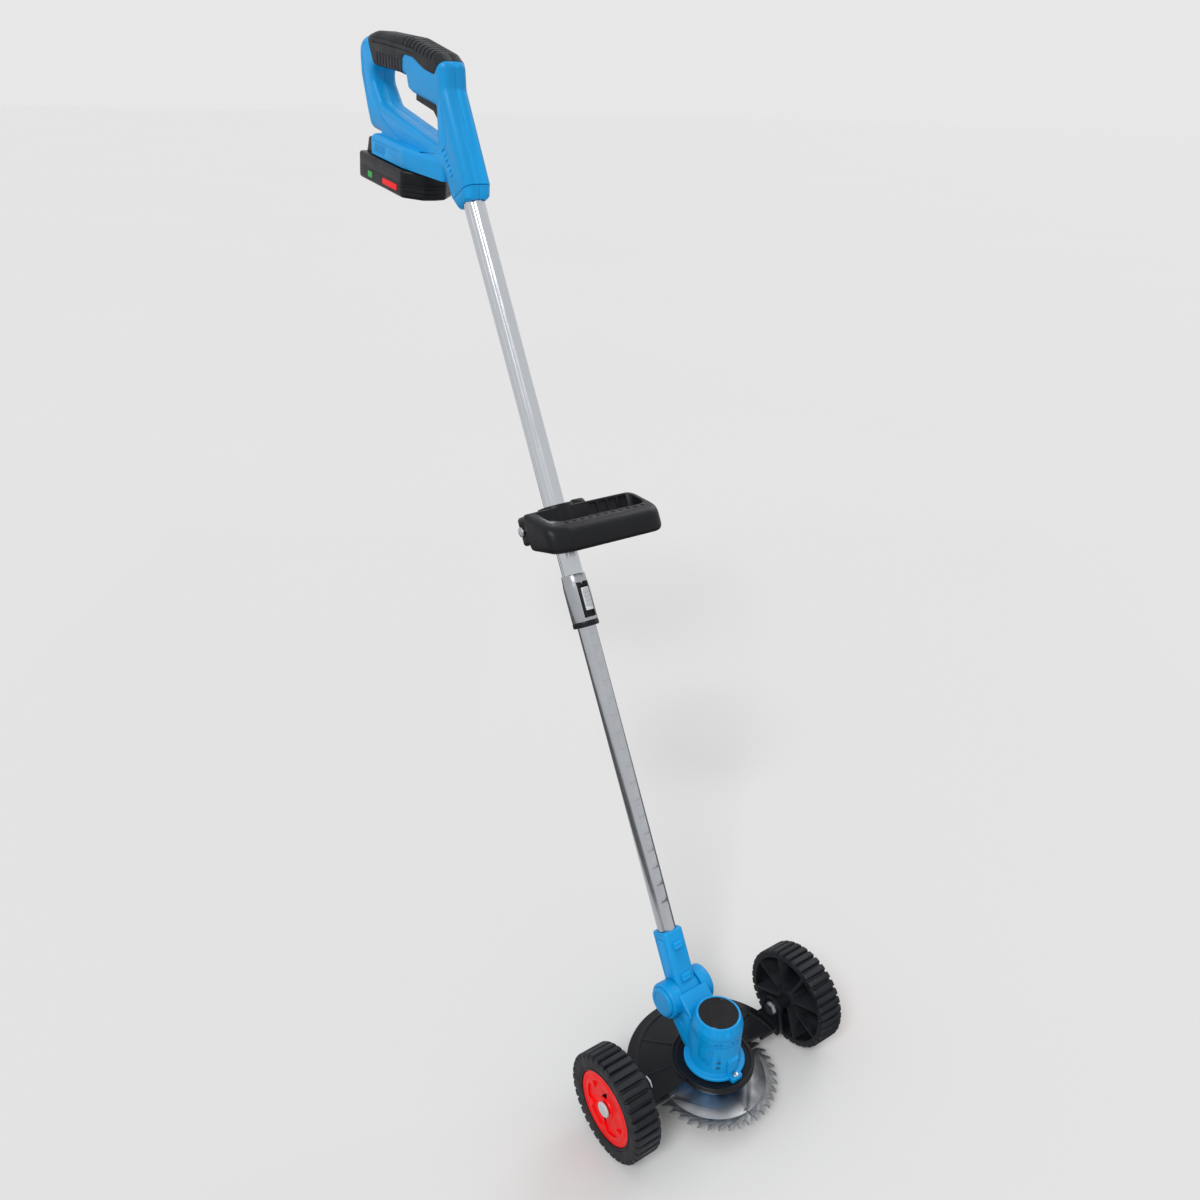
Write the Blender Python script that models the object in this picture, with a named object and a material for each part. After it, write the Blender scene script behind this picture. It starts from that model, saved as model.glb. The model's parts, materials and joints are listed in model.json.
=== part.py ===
"""Cordless grass trimmer: a toothed disc under a guard with two wheels, on a telescopic pole.

Blender units are metres and +Z is up. The front is towards -Y and the left side towards -X.
The frame's origin is on the ground, midway between the front of the disc and the back of the
battery. Sizes below are in millimetres, and shapes are built in millimetres and scaled once.

Four frames place the parts:
  head    on the ground under the disc's axis, with the world's directions;
  pole    Z up the pole's axis, Y towards its rear side, origin where the lower tube leaves the socket;
  handle  at the foot of the handle housing, X across, Y rearwards, Z up;
  dock    on the battery dock's underside, Y along the way the battery slides out.
"""

import math

import bmesh
import bpy
from mathutils import Matrix, Vector

MM = 0.001
GAP = 0.3
CUT_REACH = 30.0

# Sides of round pieces, from the largest to the smallest
LARGE_ROUND = 36
ROUND = 28
MEDIUM_ROUND = 18
SMALL_ROUND = 14
TINY_ROUND = 8

# Whole machine
DISC_AXIS_Y = -347.0
POLE_TILT = math.radians(28.7)

# Disc and spindle
DISC_RADIUS = 75.0
DISC_HEIGHT = 20.0
DISC_THICKNESS = 1.8
DISC_TEETH = 40
TOOTH_DEPTH = 7.6
SLOT_COUNT = 4
SLOT_LENGTH = 17.5
SLOT_WIDTH = 1.8
SPINDLE_RADIUS = 4.7
FLANGE_RADIUS = 17.0
FLANGE_THICKNESS = 3.2
NUT_ACROSS = 16.0
NUT_HEIGHT = 6.5

# Guard
GUARD_RADIUS = 101.0
GUARD_TOP = 47.2
GUARD_WALL = 2.8
GUARD_DROP = 9.0
GUARD_RIM = 10.5
GUARD_HUB_RADIUS = 41.0
LUG_INNER = 95.6
LUG_THICKNESS = 6.0
LUG_RADIUS = 13.0

# Wheels
WHEEL_RADIUS = 60.5
WHEEL_WIDTH = 32.0
WHEEL_INNER = 119.6
WHEEL_Y = 6.9
WHEEL_BLOCKS = 36
TREAD_DEPTH = 3.2
HUB_COVER_RADIUS = 42.0
AXLE_RADIUS = 4.0

# Motor housing
MOTOR_RADIUS = 28.5
MOTOR_WALL = 2.6
MOTOR_FLANGE_RADIUS = 35.0
MOTOR_FLANGE_THICKNESS = 4.0
MOTOR_BODY_TOP = 94.7
FRONT_RIB_HALF = 7.5
FRONT_RIB_FACE = -MOTOR_RADIUS - 3.1
FRONT_TAB_FACE = -MOTOR_RADIUS - 11.5
FRONT_SCREW_Y = -MOTOR_RADIUS - 7.0
CAP_TOP = 116.6
CAP_FACE_RADIUS = 24.4
BADGE_RADIUS = 22.6
BASE_RING_DROP = 12.0

# Tilting joint between head and pole
PIVOT_ALONG_POLE = 76.0
DRUM_RADIUS = 21.0
DRUM_HALF_LENGTH = 30.0
EYE_RADIUS = 18.5
EYE_HALF_WIDTH = 14.0
PIVOT_PIN_RADIUS = 5.0
PIVOT_BUTTON_RADIUS = 17.2
PIVOT_BUTTON_TRAVEL = 4.0

# Pole
POLE_FOOT_Y = 96.7
POLE_FOOT_Z = 164.9
SOCKET_SIDE = 27.0
SOCKET_DEPTH = 50.0
LOWER_TUBE_RADIUS = 11.0
LOWER_TUBE_WALL = 1.4
LOWER_TUBE_TOP = 600.0
NOTCH_COUNT = 17
NOTCH_PITCH = 20.5
NOTCH_WIDTH = 6.5
NOTCH_DEPTH = 0.9
UPPER_TUBE_RADIUS = 12.5
UPPER_TUBE_CLEARANCE = 0.4
SLEEVE_FOOT = 366.0
SLEEVE_LENGTH = 62.0
SLEEVE_RADIUS = UPPER_TUBE_RADIUS + 2.7
COLLAR_HEIGHT = 6.0
TUBE_IN_HANDLE = 78.0

# Auxiliary handle
LOOP_HEIGHT_ON_POLE = 490.0
LOOP_LEFT = -54.0
LOOP_RIGHT = 100.0
LOOP_FRONT = -68.0
LOOP_WALL = 6.0
LOOP_BAR = 17.0
CLAMP_EAR_LEFT = -40.0
CLAMP_EAR_RIGHT = 28.5
KNOB_RADIUS = 26.0
KNOB_THICKNESS = 16.0
CLAMP_BOLT_RADIUS = 3.0

# Handle housing
HANDLE_ALONG_POLE = 866.0
HANDLE_RAKE = math.radians(28.7)
HANDLE_HALF_WIDTH = 17.0
HANDLE_EDGE = 9.0
SHELL_WALL = 2.8
GRIP_COVER_THICKNESS = 1.6
TRIGGER_TRAVEL = 5.0
TRIGGER_HALF_WIDTH = 7.0

# Battery and its dock
DOCK_SLOPE = math.radians(8.0)
DOCK_HALF_WIDTH = 30.0
DOCK_LENGTH = 85.0
DOCK_HEIGHT = 23.5
RAIL_NECK_HALF = 19.0
RAIL_HEAD_HALF = 23.0
RAIL_NECK_HEIGHT = 5.0
RAIL_HEIGHT = 12.0
BATTERY_HALF_WIDTH = 35.0
BATTERY_FRONT = -36.0
BATTERY_REAR = 109.0
BATTERY_HEIGHT = 31.5
BATTERY_WALL = 2.0
CELL_RADIUS = 9.1
CELL_PITCH = 19.6
CELL_COUNT = 5


# ---------------------------------------------------------------- scene and materials


def clear_scene():
    for item in list(bpy.data.objects):
        bpy.data.objects.remove(item, do_unlink=True)


def finish(name, colour, roughness, metallic=0.0):
    made = bpy.data.materials.new(name)
    made.use_nodes = True
    shader = made.node_tree.nodes["Principled BSDF"]
    shader.inputs["Base Color"].default_value = (*colour, 1.0)
    shader.inputs["Roughness"].default_value = roughness
    shader.inputs["Metallic"].default_value = metallic
    return made


def frame(name, place, angle=0.0, parent=None):
    """An empty at place, in millimetres, turned by angle about X."""
    empty = bpy.data.objects.new(name, None)
    bpy.context.scene.collection.objects.link(empty)
    empty.location = Vector(place) * MM
    empty.rotation_euler = (angle, 0.0, 0.0)
    empty.parent = parent
    return empty


# ---------------------------------------------------------------- outlines


def circle(radius, steps, centre=(0.0, 0.0), start=0.0):
    return [
        (
            centre[0] + radius * math.cos(start + math.tau * i / steps),
            centre[1] + radius * math.sin(start + math.tau * i / steps),
        )
        for i in range(steps)
    ]


def arc(centre, radius, start, end, steps):
    """Points on an arc, with its angles in degrees and both ends included."""
    angles = [math.radians(start + (end - start) * i / steps) for i in range(steps + 1)]
    return [(centre[0] + radius * math.cos(a), centre[1] + radius * math.sin(a)) for a in angles]


def rounded(points, radius, steps=3):
    """The closed outline with each corner replaced by an arc. radius is one number or one per corner."""
    radii = radius if isinstance(radius, (list, tuple)) else [radius] * len(points)
    result = []
    for i, corner in enumerate(points):
        here = Vector(corner)
        before = Vector(points[i - 1]) - here
        after = Vector(points[(i + 1) % len(points)]) - here
        half = before.angle(after) / 2.0
        reach = min(radii[i] / math.tan(half), 0.49 * before.length, 0.49 * after.length)
        if reach < 0.05 or half > math.radians(88.0):
            result.append(tuple(here))
            continue
        start = here + before.normalized() * reach
        end = here + after.normalized() * reach
        for k in range(steps + 1):
            s = k / steps
            blend = (1 - s) ** 2 * start + 2 * s * (1 - s) * here + s * s * end
            result.append(tuple(blend))
    return result


def area(points):
    pairs = zip(points, points[1:] + points[:1])
    return sum(a[0] * b[1] - b[0] * a[1] for a, b in pairs) / 2.0


def inset(points, distance):
    """The outline moved inwards by distance, or outwards if it is negative."""
    sign = 1.0 if area(points) > 0 else -1.0
    result = []
    for i, corner in enumerate(points):
        here = Vector(corner)
        into = (here - Vector(points[i - 1])).normalized()
        out = (Vector(points[(i + 1) % len(points)]) - here).normalized()
        normal = Vector((-into.y - out.y, into.x + out.x)) * sign
        if normal.length < 1e-6:
            normal = Vector((-into.y, into.x)) * sign
        normal.normalize()
        cosine = max(0.4, normal.dot(Vector((-into.y, into.x)) * sign))
        result.append(tuple(here + normal * distance / cosine))
    return result


# ---------------------------------------------------------------- solids


def turned_to(a, b, h, axis):
    return {"X": (h, a, b), "Y": (b, h, a), "Z": (a, b, h)}[axis]


def solid(name, vertices, faces):
    mesh = bpy.data.meshes.new(name)
    mesh.from_pydata([tuple(Vector(v) * MM) for v in vertices], [], faces)
    work = bmesh.new()
    work.from_mesh(mesh)
    bmesh.ops.recalc_face_normals(work, faces=work.faces)
    work.to_mesh(mesh)
    work.free()
    made = bpy.data.objects.new(name, mesh)
    bpy.context.scene.collection.objects.link(made)
    return made


def loft(name, layers, axis="Z", closed=False):
    """Skins outlines of equal length, each given as (height, points). An open stack gets flat ends."""
    count = len(layers[0][1])
    vertices = [turned_to(a, b, h, axis) for h, points in layers for a, b in points]
    faces = []
    rows = len(layers) if closed else len(layers) - 1
    for row in range(rows):
        low = row * count
        high = ((row + 1) % len(layers)) * count
        for i in range(count):
            j = (i + 1) % count
            faces.append((low + i, low + j, high + j, high + i))
    if not closed:
        faces.append(tuple(reversed(range(count))))
        faces.append(tuple(range((len(layers) - 1) * count, len(layers) * count)))
    return solid(name, vertices, faces)


def prism(name, outline, low, high, axis="Z"):
    return loft(name, [(low, outline), (high, outline)], axis)


def turned(name, profile, steps, axis="Z", centre=(0.0, 0.0), closed=False):
    """Revolves (radius, height) points. A closed profile makes a ring, an open one has flat ends."""
    layers = [(h, circle(r, steps, centre, math.pi / steps)) for r, h in profile]
    return loft(name, layers, axis, closed)


def ring(name, inner, outer, low, high, steps, axis="Z", centre=(0.0, 0.0)):
    profile = [(inner, low), (outer, low), (outer, high), (inner, high)]
    return turned(name, profile, steps, axis, centre, closed=True)


def rod(name, radius, low, high, steps, axis="Z", centre=(0.0, 0.0), chamfer=0.0):
    if chamfer == 0.0:
        return turned(name, [(radius, low), (radius, high)], steps, axis, centre)
    profile = [(radius - chamfer, low), (radius, low + chamfer)]
    profile += [(radius, high - chamfer), (radius - chamfer, high)]
    return turned(name, profile, steps, axis, centre)


def pillow(name, outline, half_width, edge, axis="X", steps=3, flare=False):
    """The outline extruded both ways with rounded edges. A flared one widens outwards, to cut rounded holes."""
    side = -1.0 if flare else 1.0
    layers = []
    for k in range(steps + 1):
        angle = math.pi / 2 * k / steps
        layers.append(
            (half_width - edge * (1 - math.sin(angle)), inset(outline, side * edge * (1 - math.cos(angle))))
        )
    layers = [(h, p) for h, p in reversed(layers)]
    if flare:
        layers.insert(0, (half_width + 1.0, layers[0][1]))
    return loft(name, [(-h, p) for h, p in layers] + [(h, p) for h, p in reversed(layers)], axis)


def block(name, low, high, bevel=0.0, steps=2):
    outline = [(low[0], low[1]), (high[0], low[1]), (high[0], high[1]), (low[0], high[1])]
    made = prism(name, outline, low[2], high[2])
    if bevel:
        work = bmesh.new()
        work.from_mesh(made.data)
        bmesh.ops.bevel(
            work, geom=list(work.edges), offset=bevel * MM, segments=steps, profile=0.5, affect="EDGES"
        )
        work.to_mesh(made.data)
        work.free()
    return made


def transform(obj, matrix):
    obj.data.transform(matrix)
    return obj


def moved(obj, offset):
    return transform(obj, Matrix.Translation(Vector(offset) * MM))


def swung(obj, angle, pivot, axis="X"):
    """The object turned by angle about an axis through pivot, in millimetres."""
    place = Matrix.Translation(Vector(pivot) * MM)
    return transform(obj, place @ Matrix.Rotation(angle, 4, axis) @ place.inverted())


def copy(obj, name):
    made = bpy.data.objects.new(name, obj.data.copy())
    bpy.context.scene.collection.objects.link(made)
    return made


def tidy(mesh):
    """Merges the sliver edges that a boolean can leave."""
    work = bmesh.new()
    work.from_mesh(mesh)
    bmesh.ops.remove_doubles(work, verts=work.verts, dist=0.004 * MM)
    bmesh.ops.dissolve_degenerate(work, edges=work.edges, dist=0.002 * MM)
    work.to_mesh(mesh)
    work.free()


def combine(target, tools, operation, keep=False):
    """Applies an exact boolean with each tool in turn."""
    for tool in tools:
        step = target.modifiers.new(operation, "BOOLEAN")
        step.operation = operation
        step.solver = "EXACT"
        step.object = tool
        bpy.context.view_layer.update()
        result = bpy.data.meshes.new_from_object(target.evaluated_get(bpy.context.evaluated_depsgraph_get()))
        target.modifiers.clear()
        tidy(result)
        target.data = result
        if not keep:
            bpy.data.objects.remove(tool, do_unlink=True)
    return target


def cut(target, *tools, keep=False):
    return combine(target, tools, "DIFFERENCE", keep)


def join(target, *tools):
    return combine(target, tools, "UNION")


def common(target, *tools, keep=False):
    return combine(target, tools, "INTERSECT", keep)


def place(obj, name, parent, look):
    """Names a finished solid, gives it its material and puts it in its frame."""
    obj.name = name
    obj.data.name = name
    obj.parent = parent
    obj.data.materials.clear()
    obj.data.materials.append(look)
    obj.data.shade_smooth()
    obj.data.set_sharp_from_angle(angle=math.radians(35.0))
    return obj


# ---------------------------------------------------------------- places worked out from the sizes

SIN_TILT = math.sin(POLE_TILT)
COS_TILT = math.cos(POLE_TILT)
SLEEVE_TOP = SLEEVE_FOOT + SLEEVE_LENGTH
UPPER_TUBE_BORE = LOWER_TUBE_RADIUS + UPPER_TUBE_CLEARANCE
WHEEL_OUTER = WHEEL_INNER + WHEEL_WIDTH
PIVOT_Y = POLE_FOOT_Y - PIVOT_ALONG_POLE * SIN_TILT
PIVOT_Z = POLE_FOOT_Z - PIVOT_ALONG_POLE * COS_TILT


def on_pole(along, behind=0.0, across=0.0):
    """A point of the pole's frame in the head's frame."""
    y = POLE_FOOT_Y + SIN_TILT * along + COS_TILT * behind
    z = POLE_FOOT_Z + COS_TILT * along - SIN_TILT * behind
    return (across, y, z)


# ---------------------------------------------------------------- disc and spindle


def disc_outline():
    """The toothed rim: hooked teeth leaning clockwise from above, with expansion slots in some gullets."""
    pitch = math.tau / DISC_TEETH
    gullet = DISC_RADIUS - TOOTH_DEPTH
    points = []

    def add(radius, share, k):
        angle = (k + share) * pitch
        points.append((radius * math.cos(angle), radius * math.sin(angle)))

    for k in range(DISC_TEETH):
        if k % (DISC_TEETH // SLOT_COUNT) == 0:
            angle = (k - 0.12) * pitch
            along = Vector((math.cos(angle), math.sin(angle)))
            side = Vector((-along.y, along.x)) * SLOT_WIDTH / 2
            foot = DISC_RADIUS - SLOT_LENGTH
            points.append(tuple(along * gullet - side))
            points.append(tuple(along * (foot + SLOT_WIDTH) - side))
            points += arc(along * foot, SLOT_WIDTH, math.degrees(angle) - 30, math.degrees(angle) - 330, 6)
            points.append(tuple(along * (foot + SLOT_WIDTH) + side))
            points.append(tuple(along * gullet + side))
        else:
            add(gullet + 0.4, -0.26, k)
            add(gullet, -0.05, k)
        add(gullet + 2.2, 0.06, k)
        add(DISC_RADIUS, -0.02, k)
        add(DISC_RADIUS - 0.8, 0.2, k)
        add(gullet + 2.2, 0.58, k)
    return points


def build_disc(axis, looks):
    low = DISC_HEIGHT - DISC_THICKNESS / 2
    high = DISC_HEIGHT + DISC_THICKNESS / 2
    disc = prism("disc", disc_outline(), low, high)
    cut(disc, rod("bore", SPINDLE_RADIUS + GAP, low - 1, high + 1, MEDIUM_ROUND))
    place(disc, "cutting_disc", axis, looks["disc_steel"])

    top = GUARD_TOP + MOTOR_FLANGE_THICKNESS + 46.0
    profile = [(SPINDLE_RADIUS, low - FLANGE_THICKNESS - NUT_HEIGHT - 2.5), (SPINDLE_RADIUS, top)]
    place(turned("spindle", profile, SMALL_ROUND), "spindle", axis, looks["steel"])
    bore = SPINDLE_RADIUS + GAP
    upper = ring("flange", bore, FLANGE_RADIUS, high + GAP, high + GAP + FLANGE_THICKNESS, MEDIUM_ROUND)
    place(upper, "upper_disc_flange", axis, looks["steel"])
    lower_top = low - GAP
    lower = ring("flange", bore, FLANGE_RADIUS - 2, lower_top - FLANGE_THICKNESS, lower_top, MEDIUM_ROUND)
    place(lower, "lower_disc_flange", axis, looks["steel"])
    nut_top = lower_top - FLANGE_THICKNESS - GAP
    nut = prism("nut", circle(NUT_ACROSS / math.sqrt(3), 6), nut_top - NUT_HEIGHT, nut_top)
    cut(nut, rod("bore", bore, nut_top - NUT_HEIGHT - 1, nut_top + 1, SMALL_ROUND))
    place(nut, "disc_nut", axis, looks["steel"])
    core_low = GUARD_TOP + MOTOR_FLANGE_THICKNESS + 12.0
    core = ring("rotor", bore, MOTOR_RADIUS - MOTOR_WALL - 9.0, core_low, core_low + 18.0, MEDIUM_ROUND)
    place(core, "motor_rotor", axis, looks["steel_dark"])


# ---------------------------------------------------------------- guard, motor housing and drum


def build_guard(head, looks):
    rim_foot = GUARD_TOP - GUARD_DROP - GUARD_RIM
    edge = GUARD_RADIUS
    profile = [
        (MOTOR_RADIUS + GAP + 2, GUARD_TOP),
        (45.0, GUARD_TOP),
        (46.5, GUARD_TOP + 1.4),
        (49.5, GUARD_TOP + 1.4),
        (51.0, GUARD_TOP - 0.8),
        (edge - 15.0, GUARD_TOP - GUARD_DROP + 1.6),
        (edge - 13.5, GUARD_TOP - GUARD_DROP + 2.8),
        (edge - 11.0, GUARD_TOP - GUARD_DROP + 2.4),
        (edge - 9.5, GUARD_TOP - GUARD_DROP + 0.8),
        (edge - 2.5, GUARD_TOP - GUARD_DROP),
        (edge - 0.6, GUARD_TOP - GUARD_DROP - 1.6),
        (edge, rim_foot),
        (edge - GUARD_WALL, rim_foot),
        (edge - GUARD_WALL - 0.6, GUARD_TOP - GUARD_DROP - GUARD_WALL - 0.4),
        (51.0, GUARD_TOP - GUARD_WALL - 2.0),
        (45.0, GUARD_TOP - GUARD_WALL),
        (MOTOR_RADIUS + GAP + 2, GUARD_TOP - GUARD_WALL),
    ]
    guard = turned("guard", profile, LARGE_ROUND, closed=True)
    front = arc((0, 0), GUARD_HUB_RADIUS + 3, -6.0, -174.0, 20)
    reach = GUARD_RADIUS + 20
    outline = [(reach, -4.6)] + front + [(-reach, -4.6), (-reach, -reach), (reach, -reach)]
    cut(guard, prism("front", outline, 0.0, GUARD_TOP + 20))
    hub_rim = ring(
        "hub_rim", GUARD_HUB_RADIUS, GUARD_HUB_RADIUS + 5.0, GUARD_TOP - 6.0, GUARD_TOP + 1.2, LARGE_ROUND
    )
    join(guard, hub_rim)
    for side in (-1, 1):
        inner = LUG_INNER
        outer = LUG_INNER + LUG_THICKNESS
        foot = rim_foot - 1.0
        shape = arc((WHEEL_Y, WHEEL_RADIUS), LUG_RADIUS, -8, 188, 10)
        shape += [
            (WHEEL_Y - LUG_RADIUS - 4, GUARD_TOP - GUARD_DROP),
            (WHEEL_Y - LUG_RADIUS - 4, foot + 6),
            (WHEEL_Y - LUG_RADIUS - 1, foot),
            (WHEEL_Y - LUG_RADIUS + 5, foot),
            (WHEEL_Y - LUG_RADIUS + 7, foot + 7),
            (WHEEL_Y - 3, foot + 7),
            (WHEEL_Y - 1, foot + 1),
            (WHEEL_Y + 6, foot + 1),
            (WHEEL_Y + LUG_RADIUS + 6, GUARD_TOP - GUARD_DROP - 4),
        ]
        lug = prism("lug", shape, min(side * inner, side * outer), max(side * inner, side * outer), "X")
        top = GUARD_TOP - GUARD_DROP + 0.9
        arm = [
            (side * 70, -5.6), (side * (outer - 0.5), -5.6), (side * (outer - 0.5), 27.0), (side * 80, 27.0)
        ]
        join(guard, lug, prism("arm", arm, top - 5.6, top))
        bore_low = min(side * (inner - 2), side * (outer + 2))
        bore_high = max(side * (inner - 2), side * (outer + 2))
        cut(
            guard,
            rod("bore", AXLE_RADIUS + GAP, bore_low, bore_high, SMALL_ROUND, "X", (WHEEL_Y, WHEEL_RADIUS)),
        )
    plate_slope = math.radians(10.7)
    for degrees in (20, 55, 90, 125, 160):
        rib_root = (51.5, 0, GUARD_TOP - 0.2)
        spoke = block("rib", (rib_root[0], -1.0, GUARD_TOP - 4.0), (edge - 5.0, 1.0, rib_root[2]))
        swung(spoke, plate_slope, rib_root, "Y")
        swung(spoke, math.radians(degrees), (0, 0, 0), "Z")
        join(guard, spoke)
    cut(guard, rod("screw_hole", 2.0, GUARD_TOP - 10, GUARD_TOP + 10, TINY_ROUND, centre=(0, FRONT_SCREW_Y)))
    place(guard, "guard", head, looks["black_plastic"])


def build_motor_housing(head, looks):
    floor = GUARD_TOP + GAP
    top = MOTOR_BODY_TOP
    flange_top = floor + MOTOR_FLANGE_THICKNESS
    body = turned(
        "body",
        [
            (MOTOR_FLANGE_RADIUS - 0.6, floor),
            (MOTOR_FLANGE_RADIUS, floor + 0.8),
            (MOTOR_FLANGE_RADIUS, flange_top - 1.2),
            (MOTOR_FLANGE_RADIUS - 1.4, flange_top),
            (MOTOR_RADIUS + 1.0, flange_top + 0.4),
            (MOTOR_RADIUS, flange_top + 2.0),
            (MOTOR_RADIUS, top),
        ],
        LARGE_ROUND,
    )
    half = FRONT_RIB_HALF
    root = -MOTOR_RADIUS + 2.5
    rib_plan = rounded([(-half, root), (-half, FRONT_RIB_FACE), (half, FRONT_RIB_FACE), (half, root)], 1.5)
    rib = prism("rib", rib_plan, floor + 1, top - 15)
    slant = swung(block("slant", (-20, -30, 0), (20, 30, 20)), math.radians(40), (0, 0, 0))
    cut(rib, moved(slant, (0, FRONT_RIB_FACE, top - 24)))
    tab_plan = rounded([(-half, root), (-half, FRONT_TAB_FACE), (half, FRONT_TAB_FACE), (half, root)], 2.0)
    tab = prism("tab", tab_plan, floor, flange_top + 1.5)
    join(body, rib, tab)

    neck_side = [
        (15.0, flange_top - 2.0),
        (15.0, top - 1.0),
        (30.0, 105.0),
        (PIVOT_Y - 15.5, PIVOT_Z + 16.5),
        (PIVOT_Y, PIVOT_Z + 8.0),
        (PIVOT_Y + 12.0, PIVOT_Z - 10.0),
        (PIVOT_Y - 3.0, PIVOT_Z - DRUM_RADIUS),
        (PIVOT_Y - 8.0, PIVOT_Z - DRUM_RADIUS - 9.0),
        (32.0, flange_top - 1.0),
    ]
    neck = pillow("neck", rounded(neck_side, [0, 0, 4, 0, 0, 0, 4, 6, 3], 2), 20.0, 2.0, steps=1)
    drum = rod("drum", DRUM_RADIUS, -DRUM_HALF_LENGTH, DRUM_HALF_LENGTH, ROUND, "X", (PIVOT_Y, PIVOT_Z), 2.5)
    join(body, neck, drum)

    pivot = (PIVOT_Y, PIVOT_Z)
    slot = EYE_HALF_WIDTH + 0.6
    cut(
        body,
        turned(
            "motor_room",
            [(MOTOR_RADIUS - MOTOR_WALL, flange_top), (MOTOR_RADIUS - MOTOR_WALL, top + CUT_REACH)],
            LARGE_ROUND,
        ),
        rod("shaft_hole", 12.0, floor - 1, flange_top + 1, ROUND),
        rod("eye_room", EYE_RADIUS + 1.0, -slot, slot, ROUND, "X", pivot),
        rod(
            "pin_hole",
            PIVOT_PIN_RADIUS + GAP,
            -DRUM_HALF_LENGTH + 3,
            DRUM_HALF_LENGTH - 2,
            SMALL_ROUND,
            "X",
            pivot,
        ),
    )
    window_floor = 7.5
    window = block("window", (-slot, -SOCKET_SIDE / 2 - 2.5, window_floor), (slot, 60, 40))
    swung(window, math.radians(-5.0), (0, 0, 0))
    cut(body, moved(window, (0, PIVOT_Y, PIVOT_Z)))
    rear_window = block("window", (-slot, 12.0, -SOCKET_SIDE / 2 - 1.5), (slot, 60, 40))
    cut(body, moved(rear_window, (0, PIVOT_Y, PIVOT_Z)))
    button_floor = -DRUM_HALF_LENGTH + PIVOT_BUTTON_TRAVEL + 2.0
    cut(
        body,
        rod("button_room", PIVOT_BUTTON_RADIUS + GAP, -DRUM_HALF_LENGTH - 1, button_floor, ROUND, "X", pivot),
    )
    cut(
        body, turned("above", [(MOTOR_RADIUS + 1.2, top), (MOTOR_RADIUS + 1.2, top + CUT_REACH)], LARGE_ROUND)
    )
    for side in (-1, 1):
        for height in (flange_top + 8.0, flange_top + 15.5):
            for offset in (-0.09, 0.09):
                vent = block("vent", (-2.4, -40, height), (2.4, -15, height + 4.0))
                cut(body, swung(vent, side * math.radians(38) + offset * 2.4, (0, 0, 0), "Z"))
    cut(body, rod("screw_hole", 2.0, floor - 6, flange_top + 4, TINY_ROUND, centre=(0, FRONT_SCREW_Y)))
    place(body, "motor_housing", head, looks["blue_plastic"])

    cap = turned(
        "cap",
        [
            (MOTOR_RADIUS + 0.4, top + GAP),
            (MOTOR_RADIUS + 0.4, top + 10.0),
            (MOTOR_RADIUS - 0.6, top + 13.5),
            (CAP_FACE_RADIUS + 0.8, CAP_TOP - 0.8),
            (CAP_FACE_RADIUS, CAP_TOP),
            (BADGE_RADIUS + GAP, CAP_TOP),
            (BADGE_RADIUS + GAP, CAP_TOP - 1.2),
        ],
        LARGE_ROUND,
    )
    room = [
        (MOTOR_RADIUS - MOTOR_WALL, top - 1), (MOTOR_RADIUS - MOTOR_WALL, top + 9.0), (18.0, CAP_TOP - 4.0)
    ]
    cut(cap, turned("room", room, ROUND))
    place(cap, "motor_cap", head, looks["blue_plastic"])
    badge = rod("badge", BADGE_RADIUS, CAP_TOP - 1.2 + GAP, CAP_TOP + 0.2, LARGE_ROUND)
    place(badge, "cap_badge", head, looks["black_gloss"])

    base_top = GUARD_TOP - GUARD_WALL - GAP
    base = ring("base", 22.0, GUARD_HUB_RADIUS - GAP - 1.5, base_top - BASE_RING_DROP, base_top, MEDIUM_ROUND)
    place(base, "base_ring", head, looks["blue_plastic"])
    screw = turned(
        "screw", [(1.7, floor - 2.4), (1.7, flange_top + 1.5 + GAP)], TINY_ROUND, centre=(0, FRONT_SCREW_Y)
    )
    screw_head = rod(
        "screw_head", 3.4, flange_top + 1.5 + GAP, flange_top + 3.6, SMALL_ROUND, centre=(0, FRONT_SCREW_Y)
    )
    place(join(screw_head, screw), "front_screw", head, looks["steel"])

    room_radius = MOTOR_RADIUS - MOTOR_WALL - GAP
    can_low = flange_top + GAP
    can_high = top - 6.0
    can = ring("can", room_radius - 6.5, room_radius, can_low + 5.0, can_high, MEDIUM_ROUND)
    place(can, "motor_can", head, looks["steel_dark"])
    bearing_bore = SPINDLE_RADIUS + GAP
    lower = ring("bearing", bearing_bore, 17.5, can_low, can_low + 4.5, MEDIUM_ROUND)
    place(lower, "lower_motor_bearing", head, looks["steel"])
    upper = ring(
        "bearing", bearing_bore, room_radius - 6.5 - GAP, can_high - 5.5, can_high - 0.5, MEDIUM_ROUND
    )
    place(upper, "upper_motor_bearing", head, looks["steel"])
    pin = rod("pin", PIVOT_PIN_RADIUS, button_floor + GAP, DRUM_HALF_LENGTH - 3, SMALL_ROUND, "X", pivot)
    place(pin, "pivot_pin", head, looks["steel"])


def build_pivot_button(head, looks):
    outer = -DRUM_HALF_LENGTH - 3.5
    inner = -DRUM_HALF_LENGTH + 1.2
    axis = frame("pivot_button_axis", (0, PIVOT_Y, PIVOT_Z), parent=head)
    button = rod("button", PIVOT_BUTTON_RADIUS, outer, inner, ROUND, "X", (0, 0), 1.5)
    place(button, "pivot_lock_button", axis, looks["blue_plastic"])


# ---------------------------------------------------------------- wheels


def tread_outline():
    """Transverse blocks with sloped flanks around the rim."""
    pitch = math.tau / WHEEL_BLOCKS
    floor = WHEEL_RADIUS - TREAD_DEPTH
    corners = ((0.0, WHEEL_RADIUS), (0.56, WHEEL_RADIUS), (0.68, floor), (0.88, floor))
    points = []
    for k in range(WHEEL_BLOCKS):
        for share, radius in corners:
            angle = (k + share) * pitch
            points.append((radius * math.cos(angle), radius * math.sin(angle)))
    return points


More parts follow.
